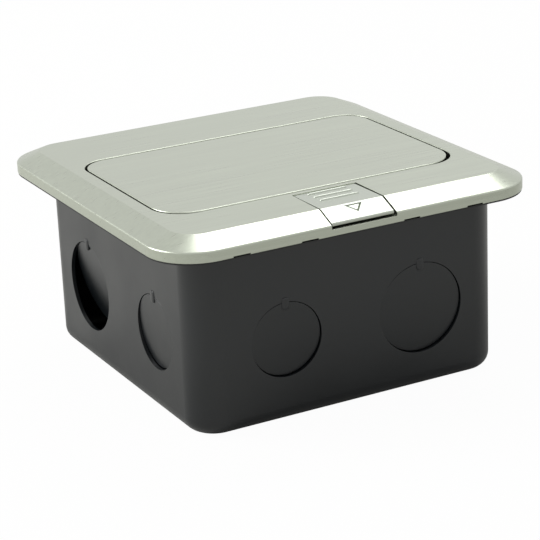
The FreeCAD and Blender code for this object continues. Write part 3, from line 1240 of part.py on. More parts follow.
def pieces():
    """Every named piece of the product, at rest."""
    slots = outlet_slots()
    return {
        "bottom_box": bottom_box(),
        "box_lugs": box_lugs(),
        "earth_bush": earth_bush(),
        "earth_washer": earth_washer(),
        "earth_screw": earth_screw(),
        "fixing_screws": fixing_screws(),
        "cover_plate": cover_plate(),
        "floor_gasket": floor_gasket(),
        "inner_frame": inner_frame(),
        "frame_screws": frame_screws(),
        "lid_seal": lid_seal(),
        "hinge_pins": hinge_pins(),
        "pin_clips": pin_clips(),
        "lid_springs": lid_springs(),
        "damper_body": damper_body(),
        "damper_screws": damper_screws(),
        "damper_gear": damper_gear(),
        "damper_rack": damper_rack(),
        "rack_screws": rack_screws(),
        "latch_button": latch_button(),
        "latch_hook": latch_hook(),
        "latch_screws": latch_screws(),
        "latch_spring": latch_spring(),
        "lid_strike": lid_strike(),
        "strike_screws": strike_screws(),
        "lid_plate": lid_plate(),
        "popup_carrier": popup_carrier(),
        "carrier_screws": carrier_screws(),
        "rear_cover": rear_cover(),
        "rear_cover_screws": rear_cover_screws(),
        "cable_clamp": cable_clamp(),
        "clamp_screws": clamp_screws(),
        "socket_panel": socket_panel(),
        "panel_screws": panel_screws(),
        "socket_housing": socket_housing(),
        "socket_back": socket_back(),
        "live_contact": pole_contact(PIN_PAIR, slots["live"]),
        "neutral_contact": pole_contact(-PIN_PAIR, slots["neutral"]),
        "earth_contact": pole_contact(0, slots["earth"]),
        "terminal_screws": terminal_screws(),
        "data_jack_left": data_jack(JACK_X[0]),
        "data_jack_right": data_jack(JACK_X[1]),
        "jack_contacts": jack_contacts(),
    }


for name, shape in pieces().items():
    shape.exportStep("parts/" + name + ".step")
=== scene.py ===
import json
import math

import bmesh
import bpy
import numpy as np
from bpy.props import FloatProperty, FloatVectorProperty, PointerProperty
from mathutils import Matrix, Vector


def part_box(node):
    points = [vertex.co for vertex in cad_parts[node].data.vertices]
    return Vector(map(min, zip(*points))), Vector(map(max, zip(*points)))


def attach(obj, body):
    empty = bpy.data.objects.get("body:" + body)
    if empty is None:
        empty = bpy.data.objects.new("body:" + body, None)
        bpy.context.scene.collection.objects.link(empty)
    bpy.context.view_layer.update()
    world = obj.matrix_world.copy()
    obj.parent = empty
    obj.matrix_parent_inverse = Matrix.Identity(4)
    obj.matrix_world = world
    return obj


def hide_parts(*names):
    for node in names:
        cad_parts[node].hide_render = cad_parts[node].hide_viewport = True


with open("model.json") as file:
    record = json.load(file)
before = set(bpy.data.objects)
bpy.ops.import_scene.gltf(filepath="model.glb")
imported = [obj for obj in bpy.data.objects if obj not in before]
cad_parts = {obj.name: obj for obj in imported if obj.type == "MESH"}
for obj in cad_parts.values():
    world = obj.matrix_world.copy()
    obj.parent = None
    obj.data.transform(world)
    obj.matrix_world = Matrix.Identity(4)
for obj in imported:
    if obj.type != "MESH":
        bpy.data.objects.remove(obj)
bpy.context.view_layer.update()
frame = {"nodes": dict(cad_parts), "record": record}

bl_info = {
    "name": "Floor Socket Box",
    "version": (1, 0, 0),
    "blender": (4, 5, 0),
    "location": "View3D > Sidebar > Floor Box",
    "description": "Dresses a pop-up floor socket box: plate, lid, thumb latch and enamelled back box",
    "category": "Add Mesh",
}


def mm(value):
    """Millimetres as metres."""
    return value * 0.001


def colour(code):
    """An sRGB hex colour as linear red, green and blue."""
    parts = np.array([int(code[k:k + 2], 16) for k in (1, 3, 5)]) / 255.0
    return tuple(np.where(parts <= 0.04045, parts / 12.92, ((parts + 0.055) / 1.055) ** 2.4))


PLATE_LOW, PLATE_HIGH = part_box("cover_plate")
LID_LOW, LID_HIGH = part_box("lid_plate")
LATCH_LOW, LATCH_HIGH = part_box("latch_button")
BOX_LOW, BOX_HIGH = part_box("bottom_box")


def length(name, description, default):
    return FloatProperty(name=name, description=description, default=default, unit="LENGTH", precision=5)


def tint(name, description, code):
    return FloatVectorProperty(name=name, description=description, default=colour(code), subtype="COLOR",
                               size=3, min=0.0, max=1.0)


# ---- settings ---------------------------------------------------------------------------------
class PlateSettings(bpy.types.PropertyGroup):
    corner: length("Corner radius", "Plan radius of the plate's outer corners", mm(15))
    flat_corner: length("Flat corner radius", "Plan radius where the slope meets the flat top", mm(8))
    slope_width: length("Slope width", "Width of the sloping border in plan", mm(7.1))
    slope_drop: length("Slope drop", "Height that the sloping border falls", mm(3))
    rim_thickness: length("Rim thickness", "Wall of the upright rim", mm(2.2))
    rim_round: length("Rim rounding", "Rounding between the slope and the rim", mm(0.5))
    deck: length("Deck thickness", "Thickness of the flat top and of the lid", mm(2.6))
    gap: length("Lid gap", "Gap between the lid and the plate", mm(0.5))
    undercut: length("Undercut", "Widening of the lid's opening towards its underside", mm(1.3))
    edge: length("Edge rounding", "Rounding of the lid's and the opening's upper edges", mm(0.3))
    lid_rear_corner: length("Lid rear corners", "Plan radius of the lid's rear corners", mm(8))
    lid_front_corner: length("Lid front corners", "Plan radius of the lid's front corners", mm(11))
    opening_front_corner: length("Opening front corners", "Plan radius of the opening's front corners",
                                 mm(10.3))
    notch_width: length("Notch width", "Width of the pry notches in the rim's lower edge", mm(5.2))
    notch_height: length("Notch height", "Height of the pry notches", mm(0.45))
    boss: length("Boss radius", "Radius of the screw bosses under the lid", mm(3))
    nickel: tint("Nickel", "Colour of the brushed plating", "#AEB3A6")
    seal_drop: length("Seal drop", "Height of the dark seal that shows under the rim", mm(0.4))
    seal_inset: length("Seal inset", "Distance of the seal from the rim's outer face", mm(0.2))


class LatchSettings(bpy.types.PropertyGroup):
    gap: length("Side gap", "Gap on both sides of the thumb slide", mm(0.5))
    rear_gap: length("Rear gap", "Gap behind the thumb slide", mm(0.12))
    rim_gap: length("Rim gap", "Gap between the slide's lip and the rim", mm(0.55))
    dip: length("Dip", "Fall of the thumb rest towards its rear edge", mm(0.2))
    thickness: length("Depth", "Underside of the slide below the plate's top", mm(3.5))
    rib_length: length("Rib length", "Length of the thumb ribs", mm(12.7))
    rib_width: length("Rib width", "Width of the thumb ribs", mm(1.1))
    rib_rise: length("Rib rise", "Height of the thumb ribs", mm(0.38))
    rib_pitch: length("Rib pitch", "Spacing of the thumb ribs", mm(3.5))
    rib_first: length("First rib", "Place of the rearmost rib along Y", mm(-39.1))
    arrow_half: length("Arrow half width", "Half the width of the engraved triangle", mm(2.95))
    arrow_length: length("Arrow length", "Length of the engraved triangle", mm(3.6))
    arrow_line: length("Arrow line", "Width of the triangle's V groove", mm(0.6))
    arrow_depth: length("Arrow depth", "Depth of the V groove", mm(0.5))
    post_half: length("Post half width", "Half the width of the posts under the slide", mm(2.3))
    blasted: tint("Blasted nickel", "Colour of the thumb slide's plating", "#ADB2A8")


class BoxSettings(bpy.types.PropertyGroup):
    corner: length("Corner radius", "Plan radius of the box's corners", mm(9.5))
    foot: length("Foot radius", "Rounding between the walls and the floor", mm(4.5))
    sheet: length("Sheet", "Thickness of the drawn steel", mm(1.2))
    large: length("Large knockout", "Radius of the large discs", mm(13.8))
    small: length("Small knockout", "Radius of the small discs", mm(11.2))
    slit: length("Slit", "Gap punched round each disc", mm(0.15))
    knockout_height: length("Knockout height", "Height of the disc centres", mm(25))
    tie_length: length("Tie length", "Length of the pressed tie that holds each disc", mm(3.6))
    tie_width: length("Tie width", "Width of the pressed tie", mm(2.4))
    screw_pitch: length("Screw pitch", "Spacing of the holes in the box's floor", mm(60))
    screw_hole: length("Screw hole", "Radius of the holes in the box's floor", mm(2.5))
    enamel: tint("Enamel", "Colour of the stoved enamel", "#0A0E11")


class StageSettings(bpy.types.PropertyGroup):
    floor: tint("Floor", "Colour of the studio floor", "#DCDCD8")
    overhead: FloatProperty(name="Overhead", description="Power of the overhead softbox", default=4.8,
                            unit="POWER", min=0.0)
    side: FloatProperty(name="Side", description="Power of the side softbox", default=17.0,
                        unit="POWER", min=0.0)
    lens: FloatProperty(name="Lens", description="Focal length in millimetres on a 36 mm sensor",
                        default=137.2, min=1.0)


class FloorBoxSettings(bpy.types.PropertyGroup):
    plate: PointerProperty(type=PlateSettings, name="Plate", description="Cover plate and lid")
    latch: PointerProperty(type=LatchSettings, name="Latch", description="Thumb slide")
    box: PointerProperty(type=BoxSettings, name="Box", description="Back box")
    stage: PointerProperty(type=StageSettings, name="Stage", description="Floor, lamps and camera")


# ---- materials ----------------------------------------------------------------------------------
def add_node(tree, kind, values=None, links=None, **attributes):
    """Adds one node with its attributes, its socket values and its incoming links."""
    node = tree.nodes.new(kind)
    for key, value in attributes.items():
        setattr(node, key, value)
    for key, value in (values or {}).items():
        node.inputs[key].default_value = value
    for key, source in (links or {}).items():
        tree.links.new(source, node.inputs[key])
    return node


def start_material(name, base, **values):
    """A new material with a Principled shader, and the Object coordinates that its patterns read."""
    material = bpy.data.materials.new(name)
    material.use_nodes = True
    tree = material.node_tree
    tree.nodes.clear()
    shader = add_node(tree, "ShaderNodeBsdfPrincipled", values={"Base Color": (*base, 1.0), **values})
    add_node(tree, "ShaderNodeOutputMaterial", links={"Surface": shader.outputs["BSDF"]})
    place = add_node(tree, "ShaderNodeTexCoord").outputs["Object"]
    return material, tree, shader, place


def grain(tree, place, size, detail=2.0):
    """Noise whose features measure size, in metres, along X, Y and Z."""
    scale = tuple(1.0 / s for s in size)
    mapped = add_node(tree, "ShaderNodeMapping", values={"Scale": scale}, links={"Vector": place})
    return add_node(tree, "ShaderNodeTexNoise", values={"Scale": 1.0, "Detail": detail, "Roughness": 0.55},
                    links={"Vector": mapped.outputs["Vector"]}).outputs["Fac"]


def spread(tree, source, low, high):
    """The middle of a noise's range, stretched to run from low to high."""
    limits = {"From Min": 0.3, "From Max": 0.7, "To Min": low, "To Max": high}
    return add_node(tree, "ShaderNodeMapRange", values=limits, links={"Value": source}).outputs["Result"]


def vary_colour(tree, shader, base, source, amount):
    """Lightens and darkens the base colour by a share, with a pattern."""
    dark = tuple(c * (1 - amount) for c in base)
    light = tuple(min(1.0, c * (1 + amount)) for c in base)
    factor = spread(tree, source, 0.0, 1.0)
    mix = add_node(tree, "ShaderNodeMix", links={"Factor": factor}, data_type="RGBA")
    mix.inputs["A"].default_value = (*dark, 1.0)
    mix.inputs["B"].default_value = (*light, 1.0)
    tree.links.new(mix.outputs["Result"], shader.inputs["Base Color"])


def emboss(tree, shader, source, depth, strength=1.0, under=None):
    """Bumps the surface by a pattern, depth metres deep, over an earlier bump."""
    links = {"Height": source}
    if under:
        links["Normal"] = under
    bump = add_node(tree, "ShaderNodeBump", values={"Distance": depth, "Strength": strength}, links=links)
    tree.links.new(bump.outputs["Normal"], shader.inputs["Normal"])
    return bump.outputs["Normal"]


def brushed_nickel(base):
    """Satin nickel plate, belt-brushed along X: long fine lines that stretch the highlights across them."""
    material, tree, shader, place = start_material("satin_nickel_brushed", base, Metallic=1.0, Roughness=0.3)
    fine = grain(tree, place, (mm(24), mm(0.4), mm(0.4)), 3.0)
    coarse = grain(tree, place, (mm(50), mm(1.1), mm(1.1)), 2.0)
    both = add_node(tree, "ShaderNodeMath", links={0: fine, 1: coarse}, operation="ADD").outputs["Value"]
    half = add_node(tree, "ShaderNodeMath", values={1: 0.5}, links={0: both},
                    operation="MULTIPLY").outputs["Value"]
    vary_colour(tree, shader, base, half, 0.06)
    tree.links.new(spread(tree, coarse, 0.27, 0.34), shader.inputs["Roughness"])
    emboss(tree, shader, fine, mm(0.012), 0.2)
    return material


def blasted_nickel(base):
    """Satin nickel on a bead-blasted casting: an even, fine-grained sheen with no lines."""
    material, tree, shader, place = start_material("satin_nickel_blasted", base, Metallic=1.0, Roughness=0.34)
    beads = grain(tree, place, (mm(0.35), mm(0.35), mm(0.35)), 2.0)
    vary_colour(tree, shader, base, beads, 0.04)
    emboss(tree, shader, beads, mm(0.01), 0.3)
    return material


def black_enamel(base):
    """Stoved black enamel on deep-drawn sheet: semi-gloss, with a faint orange peel and slow waves."""
    material, tree, shader, place = start_material("stoved_black_enamel", base, Roughness=0.34, IOR=1.52)
    peel = grain(tree, place, (mm(1.6), mm(1.6), mm(1.6)), 2.0)
    waves = grain(tree, place, (mm(28), mm(28), mm(28)), 1.0)
    cloud = grain(tree, place, (mm(22), mm(22), mm(22)), 3.0)
    vary_colour(tree, shader, base, cloud, 0.12)
    tree.links.new(spread(tree, cloud, 0.3, 0.4), shader.inputs["Roughness"])
    first = emboss(tree, shader, waves, mm(0.5), 0.5)
    emboss(tree, shader, peel, mm(0.015), 0.5, under=first)
    return material


def plated_steel(name, code, roughness):
    """Machine-made steel with a thin bright plating: a soft metallic grey, slightly uneven."""
    base = colour(code)
    material, tree, shader, place = start_material(name, base, Metallic=1.0, Roughness=roughness)
    cloud = grain(tree, place, (mm(3), mm(3), mm(3)), 3.0)
    vary_colour(tree, shader, base, cloud, 0.08)
    tree.links.new(spread(tree, cloud, roughness - 0.05, roughness + 0.08), shader.inputs["Roughness"])
    return material


def cast_alloy():
    """Die-cast aluminium alloy, as cast: dull, with a fine skin grain and faint flow marks."""
    base = colour("#A6A8A7")
    material, tree, shader, place = start_material("die_cast_alloy", base, Metallic=1.0, Roughness=0.52)
    skin = grain(tree, place, (mm(0.6), mm(0.6), mm(0.6)), 3.0)
    flow = grain(tree, place, (mm(9), mm(4), mm(4)), 3.0)
    vary_colour(tree, shader, base, flow, 0.1)
    emboss(tree, shader, skin, mm(0.03), 0.4)
    return material


def moulded_plastic(name, code, roughness, texture, ior=1.5):
    """Injection-moulded plastic: even colour, with the tool's spark-eroded or polished skin."""
    base = colour(code)
    material, tree, shader, place = start_material(name, base, Roughness=roughness, IOR=ior)
    cloud = grain(tree, place, (mm(12), mm(12), mm(12)), 2.0)
    skin = grain(tree, place, (mm(0.5), mm(0.5), mm(0.5)), 2.0)
    vary_colour(tree, shader, base, cloud, 0.03)
    tree.links.new(spread(tree, cloud, roughness - 0.03, roughness + 0.04), shader.inputs["Roughness"])
    emboss(tree, shader, skin, texture, 0.5)
    return material


def cell_foam():
    """Closed-cell foam: soot black and dead matt, its skin broken by small pores."""
    base = colour("#2A2A2A")
    material, tree, shader, place = start_material("closed_cell_foam", base, Roughness=0.95)
    cells = add_node(tree, "ShaderNodeTexVoronoi", values={"Scale": 1.0 / mm(0.8)}, links={"Vector": place})
    emboss(tree, shader, cells.outputs["Distance"], mm(0.15), 0.6)
    vary_colour(tree, shader, base, cells.outputs["Distance"], 0.2)
    return material


def make_materials(settings):
    """One material for each material slot of the record."""
    return {
        "brushed_plate": brushed_nickel(settings.plate.nickel),
        "brushed_latch": blasted_nickel(settings.latch.blasted),
        "box_enamel": black_enamel(settings.box.enamel),
        "cast_frame": cast_alloy(),
        "zinc_steel": plated_steel("bright_zinc_plate", "#C3C7CA", 0.3),
        "spring_steel": plated_steel("oiled_spring_steel", "#7E8082", 0.28),
        "black_rubber": moulded_plastic("black_rubber", "#1D1D1D", 0.75, mm(0.02)),
        "gasket_foam": cell_foam(),
        "black_nylon": moulded_plastic("black_glass_filled_nylon", "#202124", 0.5, mm(0.03)),
        "damper_nylon": moulded_plastic("natural_nylon", "#DAD6C8", 0.42, mm(0.01)),
        "panel_plastic": moulded_plastic("charcoal_abs", "#2F3134", 0.45, mm(0.03)),
        "module_white": moulded_plastic("white_polycarbonate", "#ECEAE2", 0.22, mm(0.004), 1.58),
        "contact_brass": plated_steel("plain_brass", "#C8A75C", 0.3),
        "contact_gold": plated_steel("gold_flash", "#E3BC66", 0.2),
    }


MATERIALS = {}


def material_for(slot):
    """The material of one of the record's slots. All of them are made on first use."""
    if not MATERIALS:
        MATERIALS.update(make_materials(bpy.context.scene.floor_box))
    return MATERIALS[slot]


# ---- surfaces -------------------------------------------------------------------------------------
def outline(half, y0, y1, rear_r, front_r, arc=14, side=5):
    """Rounded rectangles, one a row: each corner is its centre plus its radius times the cosine and sine
    of an angle that runs a quarter turn, and straight runs are divided evenly between the corners."""
    half, y0, y1, rear_r, front_r = np.broadcast_arrays(*(np.atleast_1d(np.asarray(v, float))
                                                          for v in (half, y0, y1, rear_r, front_r)))
    cx = np.stack([half - rear_r, rear_r - half, front_r - half, half - front_r], 1)
    cy = np.stack([y1 - rear_r, y1 - rear_r, y0 + front_r, y0 + front_r], 1)
    radius = np.stack([rear_r, rear_r, front_r, front_r], 1)[:, :, None]
    angle = np.radians(90.0 * np.arange(4)[:, None] + np.linspace(0, 90, arc + 1)[None, :])
    arcs = np.stack([cx[:, :, None] + radius * np.cos(angle), cy[:, :, None] + radius * np.sin(angle)], -1)
    share = np.linspace(0, 1, side + 1)[1:-1][None, None, :, None]
    runs = arcs[:, :, -1:] * (1 - share) + np.roll(arcs[:, :, :1], -1, 1) * share
    return np.concatenate([arcs, runs], 2).reshape(len(half), -1, 2)


def circles(radius, count=72):
    """Circles, one a row: radius times the cosine and sine of an angle that runs a full turn."""
    angle = np.linspace(0, 2 * np.pi, count, endpoint=False)
    return np.atleast_1d(radius)[:, None, None] * np.stack([np.cos(angle), np.sin(angle)], -1)[None]


def raised(rings, heights):
    """Plan outlines lifted to their heights: a grid of points with one row for each ring."""
    level = np.broadcast_to(np.asarray(heights, float)[:, None, None], (*rings.shape[:2], 1))
    return np.concatenate([rings, level], 2)


def filleted(corners, closed=False, steps=4, guard=mm(0.06)):
    """Profile with rounded corners. Each corner is (a, b, radius); its arc starts radius times the tangent
    of half the turn before the corner, and swings about the centre that both sides touch."""
    points = np.array([c[:2] for c in corners])
    rows = []
    for k, (a, b, radius) in enumerate(corners):
        inner = closed or 0 < k < len(corners) - 1
        if not inner or radius == 0:
            rows.append([[a, b]])
            continue
        back = points[k - 1] - points[k]
        ahead = points[(k + 1) % len(points)] - points[k]
        back = back / np.linalg.norm(back)
        ahead = ahead / np.linalg.norm(ahead)
        turn = np.pi - np.arccos(np.clip(back @ ahead, -1, 1))
        reach = radius * np.tan(turn / 2)
        middle = (back + ahead) / np.linalg.norm(back + ahead)
        centre = points[k] + middle * radius / np.cos(turn / 2)
        swing = np.linspace(-turn / 2, turn / 2, steps + 1)
        across = np.array([-middle[1], middle[0]])
        across = across * (1 if across @ ahead > 0 else -1)
        arc = centre + radius * (-middle[None] * np.cos(swing)[:, None]
                                 + across[None] * np.sin(swing)[:, None])
        rows.append([points[k] + back * (reach + guard)])
        rows.append(arc)
        rows.append([points[k] + ahead * (reach + guard)])
    return np.vstack(rows)


def grid_faces(rows, columns, wrap_rows):
    """Quads between neighbouring points of a grid whose columns close on themselves."""
    index = np.arange(rows * columns).reshape(rows, columns)
    ahead = np.roll(index, -1, 1)
    if wrap_rows:
        return np.stack([index, ahead, np.roll(ahead, -1, 0), np.roll(index, -1, 0)], -1).reshape(-1, 4)
    return np.stack([index[:-1], ahead[:-1], ahead[1:], index[1:]], -1).reshape(-1, 4)


def shell(grid, wrap_rows=False):
    """Closed shell on a grid: its rows join end to end, or its first and last rows are filled."""
    rows, columns = grid.shape[:2]
    faces = grid_faces(rows, columns, wrap_rows).tolist()
    if not wrap_rows:
        faces.append(list(range(columns))[::-1])
        faces.append(list(range((rows - 1) * columns, rows * columns)))
    return grid.reshape(-1, 3), faces


def moved(part, shift, turn=None):
    """A shell turned by a matrix about the origin, and then shifted."""
    points, faces = part
    if turn is not None:
        points = points @ np.array(turn).T
    return points + np.array(shift), faces


def turn_about(axis, degrees):
    return np.array(Matrix.Rotation(math.radians(degrees), 3, axis))


def block(low, high):
    """A box between two corners: a rectangle at two heights."""
    xs = np.array([low[0], high[0], high[0], low[0]])
    ys = np.array([low[1], low[1], high[1], high[1]])
    rings = np.broadcast_to(np.stack([xs, ys], -1), (2, 4, 2))
    return shell(raised(rings, [low[2], high[2]]))


def disc(radius, thickness, edge):
    """Round blank along Z, its profile a rectangle with rounded outer corners turned about its axis."""
    inner = radius * 0.8
    path = filleted([(inner, 0, 0), (radius, 0, edge), (radius, thickness, edge), (inner, thickness, 0)])
    return shell(raised(circles(path[:, 0]), path[:, 1]))


def new_object(name, parts):
    """One object from shells, its faces turned outwards."""
    points = []
    faces = []
    for part_points, part_faces in parts:
        start = sum(len(p) for p in points)
        points.append(part_points)
        faces += [[start + i for i in face] for face in part_faces]
    mesh = bpy.data.meshes.new(name)
    mesh.from_pydata(np.vstack(points).tolist(), [], faces)
    work = bmesh.new()
    work.from_mesh(mesh)
    bmesh.ops.recalc_face_normals(work, faces=work.faces)
    work.to_mesh(mesh)
    work.free()
    piece = bpy.data.objects.new(name, mesh)
    bpy.context.scene.collection.objects.link(piece)
    return piece


def combine(piece, parts, operation):
    """Cuts shells from the piece or joins them to it."""
    tool = new_object("tool", parts)
    modifier = piece.modifiers.new("combine", "BOOLEAN")
    modifier.object = tool
    modifier.operation = operation
    modifier.solver = "EXACT"
    settle(piece)
    bpy.data.objects.remove(tool)


def settle(piece):
    """Makes the piece's modifiers part of its mesh."""
    ready = piece.evaluated_get(bpy.context.evaluated_depsgraph_get())
    mesh = bpy.data.meshes.new_from_object(ready)
    piece.modifiers.clear()
    piece.data = mesh


def ease_edges(piece, width, angle=50.0, segments=2):
    """Rounds the edges that turn by more than an angle."""
    modifier = piece.modifiers.new("edges", "BEVEL")
    modifier.width = width
    modifier.segments = segments
    modifier.limit_method = "ANGLE"
    modifier.angle_limit = math.radians(angle)
    modifier.use_clamp_overlap = True
    settle(piece)


def finish_piece(piece, body, slot, replaced=(), crease=32.0):
    """Smooth shading between creases, with its material, its body and the nodes that it stands for."""
    mesh = piece.data
    mesh.polygons.foreach_set("use_smooth", np.ones(len(mesh.polygons), bool))
    mesh.set_sharp_from_angle(angle=math.radians(crease))
    normals = piece.modifiers.new("normals", "WEIGHTED_NORMAL")
    normals.keep_sharp = True
    mesh.materials.clear()
    mesh.materials.append(material_for(slot))
    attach(piece, body)
    if replaced:
        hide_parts(*replaced)


# ---- operators --------------------------------------------------------------------------------------
class FLOORBOX_OT_cover_plate(bpy.types.Operator):
    """Cover plate: one closed profile carried round the plate, from the rim over the slope to the opening"""

    bl_idname = "floor_box.cover_plate"
    bl_label = "Cover Plate"

    def execute(self, context):
        s = context.scene.floor_box.plate
        latch = context.scene.floor_box.latch
        half = PLATE_HIGH.x
        low, top = PLATE_LOW.z, PLATE_HIGH.z
        shoulder = top - s.slope_drop
        slope = s.slope_drop / s.slope_width
        under = top - s.deck
        drop = s.rim_thickness * math.hypot(1, slope)
        inner_z = shoulder + s.rim_thickness * slope - drop
        flat_in = (under - shoulder + drop) / slope
        outside = filleted([(s.rim_thickness, low, 0), (0, low, mm(0.25)), (0, shoulder, s.rim_round),
                            (s.slope_width, top, mm(0.7)), (s.slope_width + mm(1.2), top, 0)], steps=5)
        inset, z = outside.T
        radius = np.interp(inset, [0, s.slope_width, s.slope_width + mm(2)],
                           [s.corner, s.flat_corner, s.flat_corner - mm(2)])
        rings = [raised(outline(half - inset, inset - half, half - inset, radius, radius), z)]
        lip = filleted([(mm(0.8), top, 0), (0, top, s.edge), (s.undercut, under, mm(0.1)),
                        (s.undercut + mm(0.6), under, 0)])
        grow, z = lip.T
        rear = np.where(z > top - s.edge, s.lid_rear_corner + s.gap + grow,
                        np.interp(z, [under, top], [mm(7), s.lid_rear_corner + s.gap]))
        front = s.opening_front_corner + np.where(z > top - s.edge, grow, 0)
        opening = outline(LID_HIGH.x + s.gap + grow, LID_LOW.y - s.gap - grow, LID_HIGH.y + s.gap + grow,
                          rear, front)
        rings.append(raised(opening, z))
        inset, z = filleted([(flat_in + mm(1), under, 0), (flat_in, under, mm(0.8)),
                             (s.rim_thickness, inner_z, mm(0.5)), (s.rim_thickness, low + mm(0.2), 0)]).T
        radius = np.interp(inset, [s.rim_thickness, flat_in], [s.corner - s.rim_thickness, s.flat_corner])
        rings.append(raised(outline(half - inset, inset - half, half - inset, radius, radius), z))
        plate = new_object("plate_shell", [shell(np.concatenate(rings), wrap_rows=True)])
        side = LATCH_HIGH.x + latch.gap
        slot_low = top - latch.thickness - latch.rim_gap
        tools = [block((-side, -half - mm(1), slot_low), (side, LATCH_HIGH.y + latch.rear_gap, top + mm(1)))]
        for x in (mm(-17.4), mm(15.4), mm(36.5), mm(-38.5)):
            wide = s.notch_width / 2
            tools.append(block((x - wide, -half - mm(1), low - mm(1)),
                               (x + wide, mm(1) - half + s.rim_thickness, low + s.notch_height)))
        combine(plate, tools, "DIFFERENCE")
        ease_edges(plate, mm(0.12))
        finish_piece(plate, "base", "brushed_plate", ("cover_plate",))
        inset = np.array([s.seal_inset, s.seal_inset, s.rim_thickness, s.rim_thickness])
        rings = outline(half - inset, inset - half, half - inset, s.corner - inset, s.corner - inset)
        level = [low - s.seal_drop, low, low, low - s.seal_drop]
        seal = new_object("rim_seal", [shell(raised(rings, level), wrap_rows=True)])
        finish_piece(seal, "base", "black_rubber")
        return {"FINISHED"}


class FLOORBOX_OT_lid(bpy.types.Operator):
    """Lid: a rounded rectangle carried up its edge profile, closed by flat faces, with its screw bosses"""

    bl_idname = "floor_box.lid"
    bl_label = "Lid"

    def execute(self, context):
        s = context.scene.floor_box.plate
        top = LID_HIGH.z
        under = top - s.deck
        inset, z = filleted([(mm(6), under, 0), (0, under, mm(0.15)), (0, top, s.edge + mm(0.05)),
                             (mm(6), top, 0)]).T
        rings = outline(LID_HIGH.x - inset, LID_LOW.y + inset, LID_HIGH.y - inset, s.lid_rear_corner - inset,
                        s.lid_front_corner - inset)
        lid = new_object("lid_skin", [shell(raised(rings, z))])
        bosses = []
        for x in (-mm(31.7), mm(31.7)):
            for y in (-mm(9.5), mm(12.5)):
                bosses.append(moved(disc(s.boss, under - LID_LOW.z + mm(0.4), mm(0.2)), (x, y, LID_LOW.z)))
        combine(lid, bosses, "UNION")
        finish_piece(lid, "lid", "brushed_plate", ("lid_plate",))
        return {"FINISHED"}


class FLOORBOX_OT_latch(bpy.types.Operator):
    """Thumb slide: its side profile carried across its width, three capsule ribs, and a cut arrow outline"""

    bl_idname = "floor_box.latch"
    bl_label = "Latch"

    def execute(self, context):
        plate = context.scene.floor_box.plate
        s = context.scene.floor_box.latch
        top = PLATE_HIGH.z
        kink = plate.slope_width - PLATE_HIGH.x
        slope = plate.slope_drop / plate.slope_width
        rear, front = LATCH_HIGH.y, LATCH_LOW.y
        under = top - s.thickness
        nose = top + (front - kink) * slope
        side = filleted([(rear, top - s.dip, mm(0.3)), (kink, top, mm(0.5)), (front, nose, mm(0.45)),
                         (front, under, mm(0.15)), (rear, under, mm(0.15))], closed=True)
        across = np.linspace(LATCH_LOW.x, LATCH_HIGH.x, 2)[:, None, None]
        grid = np.broadcast_to(side[None], (2, len(side), 2))
        grid = np.concatenate([np.broadcast_to(across, (2, len(side), 1)), grid], 2)
        slide = new_object("latch_cap", [shell(grid)])
        ease_edges(slide, mm(0.18), segments=3)
        fall = s.dip / (rear - kink)
        ribs = []
        end = s.rib_length / 2 - s.rib_width / 2
        x = np.concatenate([-end - s.rib_width / 2 * np.cos(np.linspace(0.12, np.pi / 2, 8)),
                            end + s.rib_width / 2 * np.sin(np.linspace(0, np.pi / 2 - 0.12, 8))])
        r = np.sqrt((s.rib_width / 2) ** 2 - np.clip(np.abs(x) - end, 0, None) ** 2)
        ring = circles(r, 20)
        for k in range(3):
            y = s.rib_first - k * s.rib_pitch
            z = top - (y - kink) * fall + s.rib_rise - s.rib_width / 2
            along = np.broadcast_to(x[:, None], ring.shape[:2])
            grid = np.stack([along, ring[..., 0] + y, ring[..., 1] + z], -1)
            ribs.append(shell(grid))
        combine(slide, ribs, "UNION")
        combine(slide, [self.arrow(s, kink, top, slope)], "DIFFERENCE")
        posts = []
        for x in (-mm(6), mm(6)):
            low = LATCH_LOW.z
            posts.append(block((x - s.post_half, mm(-43.5), low),
                               (x + s.post_half, mm(-38.5), under + mm(0.3))))
        combine(slide, posts, "UNION")
        finish_piece(slide, "latch", "brushed_latch", ("latch_button",), 28.0)
        return {"FINISHED"}

    @staticmethod
    def arrow(s, kink, top, slope):
        """V groove whose sides fall from an outer and an inner triangle. The inner triangle's corners step
        inwards by the line's width times fixed shares that the triangle's slant gives."""
        outer = np.array([[-s.arrow_half, 0], [s.arrow_half, 0], [0, -s.arrow_length]])
        step = np.array([[2.112, -1], [-2.112, -1], [0, 1.578]]) * s.arrow_line
        rings = np.stack([outer, outer, outer + step / 2, outer + step, outer + step])
        grid = raised(rings, [mm(1), 0, -s.arrow_depth, 0, mm(1)])
        tilt = turn_about("X", math.degrees(math.atan(slope)))
        return moved(shell(grid, wrap_rows=True), (0, kink - mm(0.5), top - mm(0.5) * slope), tilt)


